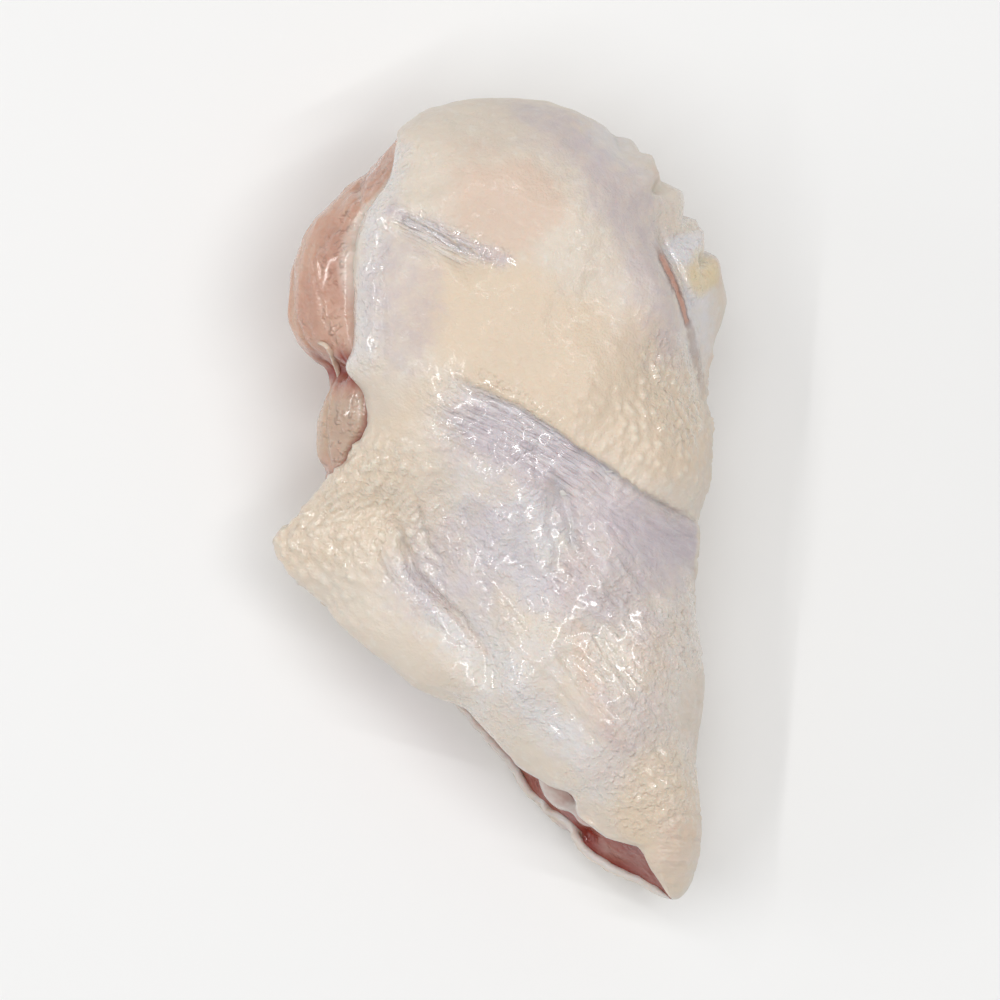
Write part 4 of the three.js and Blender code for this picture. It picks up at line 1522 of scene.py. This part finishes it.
    def wander_edges(self) -> None:
        """Make the two cut edges uneven, and ragged near the elbow."""
        y = self.outer[:, 0, 1]
        run = self.from_upper_edge()
        ragged = self.raggedness(y)
        for which, (distance, column, second) in enumerate(((run, 0, 8), (run[:, -1:] - run, -1, -6))):
            line = points_of(y, np.full_like(y, 7.0 * which), np.zeros_like(y))
            shift = self.edge_wander * layered_noise(line, 4.5, Seed.EDGE + which, layers=3)
            tear = (1.2, 0.5)[which] * ragged
            shift = shift + tear * layered_noise(line, 1.6 + 1.2 * which, Seed.TEAR + which, layers=2)
            tangent = unit(self.outer[:, column] - self.outer[:, second])
            lift = 0.35 * layered_noise(line, 3.0, Seed.LIFT + which, layers=2)
            if column == 0:
                shift = shift + self.nub[1] * bump(y - self.nub[0], 1.2)
                lift = lift + self.curl * ragged
            whole = smooth(0.8, 6.0, SPAN.shoulder - np.abs(y))
            shift, lift = shift * whole, lift * whole
            falloff = bump(distance, 2.2)
            self.outer += (tangent * shift[:, None])[:, None, :] * falloff[..., None]
            self.outer[..., 2] += lift[:, None] * falloff
        at, reach, width = self.tongue
        self.outer[..., 0] -= reach * bump(y - at, width)[:, None] * bump(run, 3.2)

    def inner_places(self, count: int) -> np.ndarray:
        """Columns of the outer surface that an inner surface follows, close together near the edges."""
        columns = self.top_columns + self.under_columns
        share = np.linspace(0.0, 1.0, count)
        return np.unique(np.round((0.5 - 0.5 * np.cos(np.pi * share)) * (columns - 1)).astype(int))

    def depth(self) -> np.ndarray:
        """Thickness of the skin in each section, thinner where the section is small."""
        room = np.linalg.norm(self.outer[:, 0] - self.outer[:, -1], axis=-1)
        return np.minimum(self.thickness, 0.34 * room)[:, None, None]

    def rings(self) -> Rings:
        """Close the outer surface with rounded rims and an inner surface.

        Returns:
            The closed body of the skin.
        """
        turn = np.linspace(0.0, np.pi, self.rim_columns + 2)[1:-1]
        rim, depth = np.sin(turn), (1.0 - np.cos(turn)) / 2.0
        thick = self.depth()
        places = self.inner_places(self.inner_columns)
        inner = self.outer[:, places] - self.normals[:, places] * thick
        rims = []
        for column, second in ((-1, -4), (0, 3)):
            tangent = unit(self.outer[:, column] - self.outer[:, second])
            start, inward = self.outer[:, column], -self.normals[:, column]
            rims.append(
                start[:, None] + inward[:, None] * thick * depth[None, :, None]
                + tangent[:, None] * thick * 0.5 * rim[None, :, None]
            )
        points = np.concatenate([self.outer, rims[0], inner[:, ::-1], rims[1][:, ::-1]], axis=1)
        points[..., 2] = np.maximum(points[..., 2], 0.0)
        extra = points.shape[1] - self.outer.shape[1]
        masks = {}
        for name, values in self.masks.items():
            pad = np.full((self.along, extra), 0.5 if name == Mask.WHITE.value else 0.0)
            masks[name] = np.concatenate([values, pad], axis=1)
        return Rings(points, points[0].mean(axis=0), points[-1].mean(axis=0), masks)

    def build(self, material: bpy.types.Material) -> bpy.types.Object:
        """Make the skin's object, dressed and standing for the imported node."""
        skin = self.rings().build("drumette_skin")
        skin.data.materials.append(material)
        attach(skin, BODY)
        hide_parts(NODE)
        return skin


# ---------------------------------------------------------------- the muscle


@dataclass
class Muscle:
    """The muscle inside the skin, which shows between the skin's cut edges."""

    skin: Skin
    wall_columns: int = 130
    hidden_columns: int = 34
    clearance: float = 0.12
    tucked: float = 1.4
    fullness: float = 0.55
    cleft: Triple = (15.4, 1.4, 2.8)
    reach: Profile = Profile([
        (48.9, 0), (46, -6), (44, -11), (42.4, -12.9), (40, -15.4), (37, -18.6), (33.3, -22.4),
        (30, -24.4), (26.8, -25.4), (23, -25.4), (19.4, -24), (17.2, -22), (15.4, -20.4), (13.6, -20.2),
        (11.6, -21.2), (8.5, -22.1), (5.4, -21.8), (3, -20.4), (0, -20.6), (-5, -24.6), (-10, -21.8),
        (-16, -14.8), (-24, -2.4), (-30, 3), (-34, 6.4), (-38, 10.4), (-41.5, 15), (-44.4, 18.6),
        (-47.2, 21), (-48.9, 22.4),
    ])
    bundle_seam: Line = Line([(-19.6, 40.6), (-17.6, 38.2), (-16.6, 33.0)])
    strand: tuple[Pair, ...] = ((-22.2, 18.8), (-20.6, 17.5), (-19.5, 15.4), (-18.8, 12.6))
    strand_lift: tuple[float, ...] = (-0.9, 0.2, 0.3, -0.9)

    def wall(self) -> tuple[np.ndarray, np.ndarray]:
        """Work out the wall of muscle between the skin's cut edges.

        Returns:
            The wall's points, from the upper edge down to the lower edge, and each point's share of the
            way up.
        """
        skin, t = self.skin, self.skin.t
        y = SPAN.y_at(t)[:, None]
        inset = skin.depth()[:, 0] + self.clearance
        top = skin.outer[:, 0] - skin.normals[:, 0] * inset
        bottom = skin.outer[:, -1] - skin.normals[:, -1] * inset
        w = np.linspace(1.0, 0.0, self.wall_columns + 2)[None, 1:-1]
        height = (top[:, 2] - bottom[:, 2])[:, None]
        z = bottom[:, 2][:, None] + height * w
        straight = bottom[:, 0][:, None] + (top[:, 0] - bottom[:, 0])[:, None] * w
        opened = smooth(0.5, 4.0, height)
        middle = (bottom[:, 0] + top[:, 0])[:, None] / 2.0
        cleft_y, cleft_width, cleft_depth = self.cleft
        cleft = cleft_depth * bump(y - cleft_y, cleft_width) * smooth(0.5, 0.75, w)
        swell = opened * (middle - self.reach.at(t)[:, None] - cleft)
        arc = np.sin(np.pi * w) ** self.fullness
        x = straight - swell * arc - opened * arc * bundles(y, z) * 0.5
        return np.stack([x, np.broadcast_to(y, x.shape), z], axis=-1), np.broadcast_to(w, x.shape)

    def stains(
        self, wall: np.ndarray, y: np.ndarray, w: np.ndarray, strands: np.ndarray, seam: np.ndarray
    ) -> dict[MuscleMask, np.ndarray]:
        """Work out where the wall is pale, dark red, wet, tan or grey; the dark red is blood and flesh,
        partly painted shade in the recesses.

        Args:
            wall: The wall's points, with their relief.
            y: Y of the points.
            w: Each point's share of the way up.
            strands: Distance from the grooves between the fibres' strands.
            seam: Distance from the seam between the bundles.

        Returns:
            The masks, which may go past 0 and 1.
        """
        tear = noise(wall, 5.0, Seed.MUSCLE_TEAR)
        shoulder = between(y, 12.0, 20.0, 37.0, 42.0)
        lobe = between(y, 0.0, 3.0, 11.0, 14.0)
        elbow = smooth(-16.0, -30.0, y)
        membrane = smooth(0.95, 0.99, w + 0.02 * tear) * smooth(20.0, 27.0, y) * shoulder
        membrane = membrane + 0.6 * bump(seam, 0.35) + 0.4 * lobe * between(w, 0.7, 0.9, 0.965, 0.985)
        membrane = membrane + 0.3 * smooth(0.08, 0.0, strands) * smooth(0.1, 0.6, tear)
        # Dark red, partly painted shade: in the cleft, in a thin rim where the lobe dips under the skin's
        # edge, and towards the elbow, where the cut lies in a hollow.
        gap = bump(y - self.cleft[0] + 0.9 * noise(wall, 1.6, Seed.GAP), 1.8)
        gap = gap * smooth(0.2, 0.45, w + 0.12 * tear)
        lobe_foot = 0.45 * smooth(4.5, 1.0, y) * smooth(-3.0, 0.0, y) * smooth(0.3, 0.6, w)
        drop_edge = 0.75 * smooth(0.972, 0.994, w) * between(y, 0.0, 3.0, 12.0, 14.0)
        flush = layered_noise(wall * np.array([1.0, 0.5, 1.0]), 5.0, Seed.FLUSH)
        in_elbow = elbow * (0.85 + 0.25 * noise(wall, 3.0, Seed.ELBOW_BLOOD))
        wet = between(w, 0.86, 0.92, 0.965, 0.985) * smooth(-0.4, 0.2, tear)
        wet = wet * (shoulder + lobe) + 0.8 * lobe * bump(y - 9.0, 3.0) * smooth(0.6, 0.8, w)
        wet = np.maximum(wet, 0.45 * smooth(-0.3, 0.5, noise(wall, 3.0, Seed.MUSCLE_WET)))
        return {
            MuscleMask.MEMBRANE: membrane,
            MuscleMask.BLOOD: gap + lobe_foot + drop_edge + 0.16 * smooth(0.0, 0.7, flush) + in_elbow,
            MuscleMask.WET: wet * (1.0 - gap),
            MuscleMask.TAN: smooth(0.86, 0.6, w) * (0.75 + 0.4 * tear) * (1.0 - elbow),
            MuscleMask.GREY: lobe * smooth(0.3, 0.5, w) * smooth(3.0, 7.0, y + tear) * (0.8 + 0.3 * tear),
        }

    def rings(self) -> Rings:
        """Work out the muscle's closed body.

        Returns:
            The body, with all the muscle's masks.
        """
        skin = self.skin
        places = skin.inner_places(self.hidden_columns)
        columns = skin.outer.shape[1] - 1
        to_edge = np.minimum(places, columns - places)[None, :, None]
        inset = skin.depth() + self.clearance + self.tucked * smooth(2.0, 16.0, to_edge)
        hidden = skin.outer[:, places] - skin.normals[:, places] * inset
        wall, w = (part[:, ::-1] for part in self.wall())
        x, y, z = np.moveaxis(wall, -1, 0)
        opened = smooth(0.5, 4.0, (z[:, -1:] - z[:, :1]))
        along_grain = wall * np.array([1.0, 0.22, 1.0])
        grooves = layered_noise(along_grain, 2.6, Seed.GROOVE)
        bend = 0.25 * layered_noise(wall, 6.0, Seed.GRAIN_BEND)
        drawn_out = along_grain * np.array([0.6, 0.35, 1.0]) + bend[..., None]
        strands = np.abs(noise(drawn_out, 2.8, Seed.MUSCLE_STRAND))
        seam = np.abs(self.bundle_seam.near(x, y)[0] + bend) + 6.0 * smooth(0.75, 0.55, w)
        fibres = layered_noise(wall * np.array([1.0, 0.12, 1.0]), 0.9, Seed.FIBRE, layers=2)
        relief = 0.3 * grooves - 0.3 * smooth(0.16, 0.0, strands) - 0.7 * bump(seam, 0.5) + 0.07 * fibres
        relief = relief * np.sin(np.pi * w) ** self.fullness * opened
        wall = wall + normals_of(wall, skin.spine) * relief[..., None]
        wall[..., 2] = np.maximum(wall[..., 2], 0.05)
        points = np.concatenate([hidden, wall], axis=1)
        masks = {}
        for mask, values in self.stains(wall, y, w, strands, seam).items():
            none = np.zeros(hidden.shape[:2])
            masks[mask.value] = np.concatenate([none, np.clip(values, 0.0, 1.0)], axis=1)
        return Rings(points, points[0].mean(axis=0), points[-1].mean(axis=0), masks)

    def surface_at(self, x: float, y: float) -> np.ndarray:
        """The wall's point that is nearest to a place seen from above, on its upper half."""
        wall, w = self.wall()
        away = np.hypot(wall[..., 0] - x, wall[..., 1] - y) + 100.0 * (w < 0.45)
        return wall[np.unravel_index(np.argmin(away), away.shape)]

    def strand_route(self) -> np.ndarray:
        """The strand's places: it lies on the swelling's lower edge, crosses the cleft and sinks in."""
        places = np.stack([self.surface_at(x, y) for x, y in self.strand])
        places[:, 2] += np.array(self.strand_lift)
        return places

    def build(self, material: bpy.types.Material) -> bpy.types.Object:
        """Make the muscle's object."""
        muscle = self.rings().build("drumette_muscle")
        muscle.data.materials.append(material)
        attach(muscle, BODY)
        return muscle


# ---------------------------------------------------------------- connective tissue


@dataclass(frozen=True)
class Strand:
    """A pale strand of connective tissue: a thin tapered cord whose two ends sink into the muscle."""

    route: np.ndarray
    radius: float = 0.32
    steps: int = 48
    columns: int = 16

    def build(self, name: str, material: bpy.types.Material) -> bpy.types.Object:
        """Make the strand's object.

        Args:
            name: Name of the piece.
            material: Its material.

        Returns:
            The linked object, riding on the body.
        """
        s = np.linspace(0.0, 1.0, self.steps)
        fit = np.polyfit(np.linspace(0.0, 1.0, len(self.route)), self.route, len(self.route) - 1)
        middle = sum(fit[i] * s[:, None] ** (len(fit) - 1 - i) for i in range(len(fit)))
        run = np.gradient(middle, axis=0)
        run /= np.linalg.norm(run, axis=-1, keepdims=True)
        side = np.cross(run, np.array([0.0, 0.0, 1.0]))
        side /= np.linalg.norm(side, axis=-1, keepdims=True)
        up = np.cross(side, run)
        around = np.linspace(0.0, 2 * np.pi, self.columns, endpoint=False)[None, :, None]
        thick = self.radius * (1.0 - 0.6 * np.abs(2.0 * s - 1.0) ** 3)[:, None, None]
        points = middle[:, None] + thick * (
            np.cos(around) * side[:, None] * 1.15 + np.sin(around) * up[:, None] * 0.75
        )
        points = points + 0.08 * noise(points, 0.9, Seed.STRAND)[..., None]
        strand = Rings(points, middle[0] - run[0] * 0.2, middle[-1] + run[-1] * 0.2).build(name)
        strand.data.materials.append(material)
        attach(strand, BODY)
        return strand


# ---------------------------------------------------------------- cartilage


@dataclass(frozen=True)
class ElbowKnob:
    """The cartilage knob in the elbow cut: two rounded heads with a groove between them."""

    centre: Triple = (11.2, -34.8, 8.8)
    radii: Triple = (6.4, 4.6, 4.1)
    turn: float = -0.62
    rows: int = 48
    columns: int = 64

    def build(self, material: bpy.types.Material) -> bpy.types.Object:
        """Make the knob's object."""
        polar = np.linspace(0.0, np.pi, self.rows + 2)[1:-1, None]
        around = np.linspace(0.0, 2 * np.pi, self.columns, endpoint=False)[None, :]
        long = np.cos(polar) * np.ones_like(around)
        groove = 1.0 - 0.16 * bump(long - 0.1, 0.22)
        local = np.stack([
            self.radii[0] * long,
            self.radii[1] * np.sin(polar) * np.cos(around) * groove,
            self.radii[2] * np.sin(polar) * np.sin(around) * groove,
        ], axis=-1)
        c, s = math.cos(self.turn), math.sin(self.turn)
        points = np.stack([
            c * local[..., 0] - s * local[..., 1],
            s * local[..., 0] + c * local[..., 1],
            local[..., 2],
        ], axis=-1) + np.array(self.centre)
        points = points + 0.12 * noise(points, 2.5, Seed.KNOB)[..., None]
        ends = [np.array(self.centre) + side * self.radii[0] * np.array([c, s, 0.0]) for side in (1, -1)]
        knob = Rings(points[:, ::-1], ends[0], ends[1]).build("elbow_cartilage")
        knob.data.materials.append(material)
        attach(knob, BODY)
        return knob


# ---------------------------------------------------------------- the stage


WHITE_LIGHT = (1.0, 1.0, 1.0)
TUBE_WIDTH = 0.022


@dataclass(frozen=True)
class Lamp:
    """A rectangular light that faces the part, with its first side level, in metres and watts."""

    name: str
    place: Triple
    size: Pair
    power: float
    colour: Colour = WHITE_LIGHT

    def build(self) -> None:
        """Add the light."""
        data = bpy.data.lights.new(self.name, "AREA")
        data.shape = "RECTANGLE"
        data.size, data.size_y = self.size
        data.energy = self.power
        data.color = self.colour
        lamp = bpy.data.objects.new(self.name, data)
        lamp.location = self.place
        lamp.rotation_mode = "QUATERNION"
        lamp.rotation_quaternion = (-Vector(self.place)).to_track_quat("-Z", "Y")
        bpy.context.scene.collection.objects.link(lamp)


@dataclass(frozen=True)
class Studio:
    """A plain pale floor, two soft lights, thin tubes that make glints, and a camera almost overhead."""

    lens: float = 200.0
    sensor: float = 36.0
    view_height: float = 0.122
    toward_left: float = 0.085
    toward_elbow: float = 0.03
    aim: Triple = (0.0, 0.0, 0.012)
    floor_half: float = 1.5
    floor_colour: Colour = (0.88, 0.878, 0.872)
    floor_roughness: float = 0.7
    surround: float = 0.36
    lamps: tuple[Lamp, ...] = (
        Lamp("key", (0.34, 0.02, 0.94), (0.4, 0.4), 0.8, (1.0, 0.985, 0.965)),
        Lamp("soft", (-0.5, 0.1, 0.9), (0.9, 0.9), 0.8, (0.97, 0.985, 1.0)),
        Lamp("tube_far", (0.1, 0.34, 0.95), (1.2, TUBE_WIDTH), 2.6),
        Lamp("tube_near", (0.16, -0.3, 0.95), (1.2, TUBE_WIDTH), 2.25),
        Lamp("tube_left", (-0.6, 0.05, 0.8), (1.2, TUBE_WIDTH), 2.0),
        Lamp("tube_low_left", (-0.9, 0.08, 0.44), (0.5, TUBE_WIDTH), 1.0),
    )

    def floor(self) -> None:
        """Lay the floor."""
        mesh = bpy.data.meshes.new("floor")
        half = self.floor_half
        mesh.from_pydata([(-half, -half, 0), (half, -half, 0), (half, half, 0), (-half, half, 0)], [],
                         [(0, 1, 2, 3)])
        floor = bpy.data.objects.new("floor", mesh)
        bpy.context.scene.collection.objects.link(floor)
        material = bpy.data.materials.new("pale_floor")
        material.use_nodes = True
        shader = material.node_tree.nodes["Principled BSDF"]
        shader.inputs["Base Color"].default_value = (*self.floor_colour, 1.0)
        shader.inputs["Roughness"].default_value = self.floor_roughness
        mesh.materials.append(material)

    def world(self) -> None:
        """Light everything evenly from all round."""
        world = bpy.data.worlds.new("studio")
        world.use_nodes = True
        background = world.node_tree.nodes["Background"]
        background.inputs["Color"].default_value = (*WHITE_LIGHT, 1.0)
        background.inputs["Strength"].default_value = self.surround
        bpy.context.scene.world = world
        bpy.context.scene.view_settings.view_transform = "Standard"

    def camera(self) -> None:
        """Place the camera, with the shoulder at the top of the picture."""
        data = bpy.data.cameras.new("camera")
        data.lens = self.lens
        data.sensor_width = self.sensor
        camera = bpy.data.objects.new("camera", data)
        back = Vector((-self.toward_left, -self.toward_elbow, 1.0)).normalized()
        distance = self.view_height * self.lens / data.sensor_width
        camera.location = Vector(self.aim) + back * distance
        right = Vector((0.0, 1.0, 0.0)).cross(back).normalized()
        turn = Matrix((right, back.cross(right), back)).transposed()
        camera.rotation_mode = "QUATERNION"
        camera.rotation_quaternion = turn.to_quaternion()
        bpy.context.scene.collection.objects.link(camera)
        bpy.context.scene.camera = camera

    def build(self) -> None:
        """Set up the floor, the lights and the camera."""
        self.floor()
        for lamp in self.lamps:
            lamp.build()
        self.world()
        self.camera()


# ---------------------------------------------------------------- making


def settle(pieces: list[bpy.types.Object], low: Vector, high: Vector) -> None:
    """Move the pieces' vertices by the hair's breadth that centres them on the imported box.

    Args:
        pieces: The pieces of the drumette.
        low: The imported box's lowest corner.
        high: Its highest corner.
    """
    spots = np.concatenate([[v.co for v in piece.data.vertices] for piece in pieces])
    middle = (spots.min(axis=0) + spots.max(axis=0)) / 2.0
    wanted = (low + high) / 2.0
    for piece in pieces:
        for vertex in piece.data.vertices:
            vertex.co.x += wanted.x - middle[0]
            vertex.co.y += wanted.y - middle[1]


def main() -> None:
    """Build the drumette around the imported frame, and set up the stage."""
    logging.basicConfig(level=logging.INFO, format="%(name)s: %(message)s")
    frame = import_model()
    LOG.info("frame with nodes %s", sorted(frame["nodes"]))
    Studio().build()
    LOG.info("stage ready")
    groups = {"relief": wet_relief_group(), "mottle": mottle_group(), "strands": strand_group()}
    skin = Skin()
    pieces = [skin.build(dress_skin(groups))]
    LOG.info("skin: %d faces", len(pieces[-1].data.polygons))
    muscle = Muscle(skin)
    pieces.append(muscle.build(dress_muscle(groups)))
    LOG.info("muscle: %d faces", len(pieces[-1].data.polygons))
    membrane = dress_plain(MEMBRANE_FINISH, groups)
    pieces.append(Strand(muscle.strand_route()).build("waist_strand", membrane))
    LOG.info("strand: %d faces", len(pieces[-1].data.polygons))
    pieces.append(ElbowKnob().build(dress_plain(CARTILAGE_FINISH, groups)))
    LOG.info("cartilage: %d faces", len(pieces[-1].data.polygons))
    low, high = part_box(NODE)
    settle(pieces, low, high)
    bpy.context.view_layer.update()


if __name__ == "__main__":
    main()
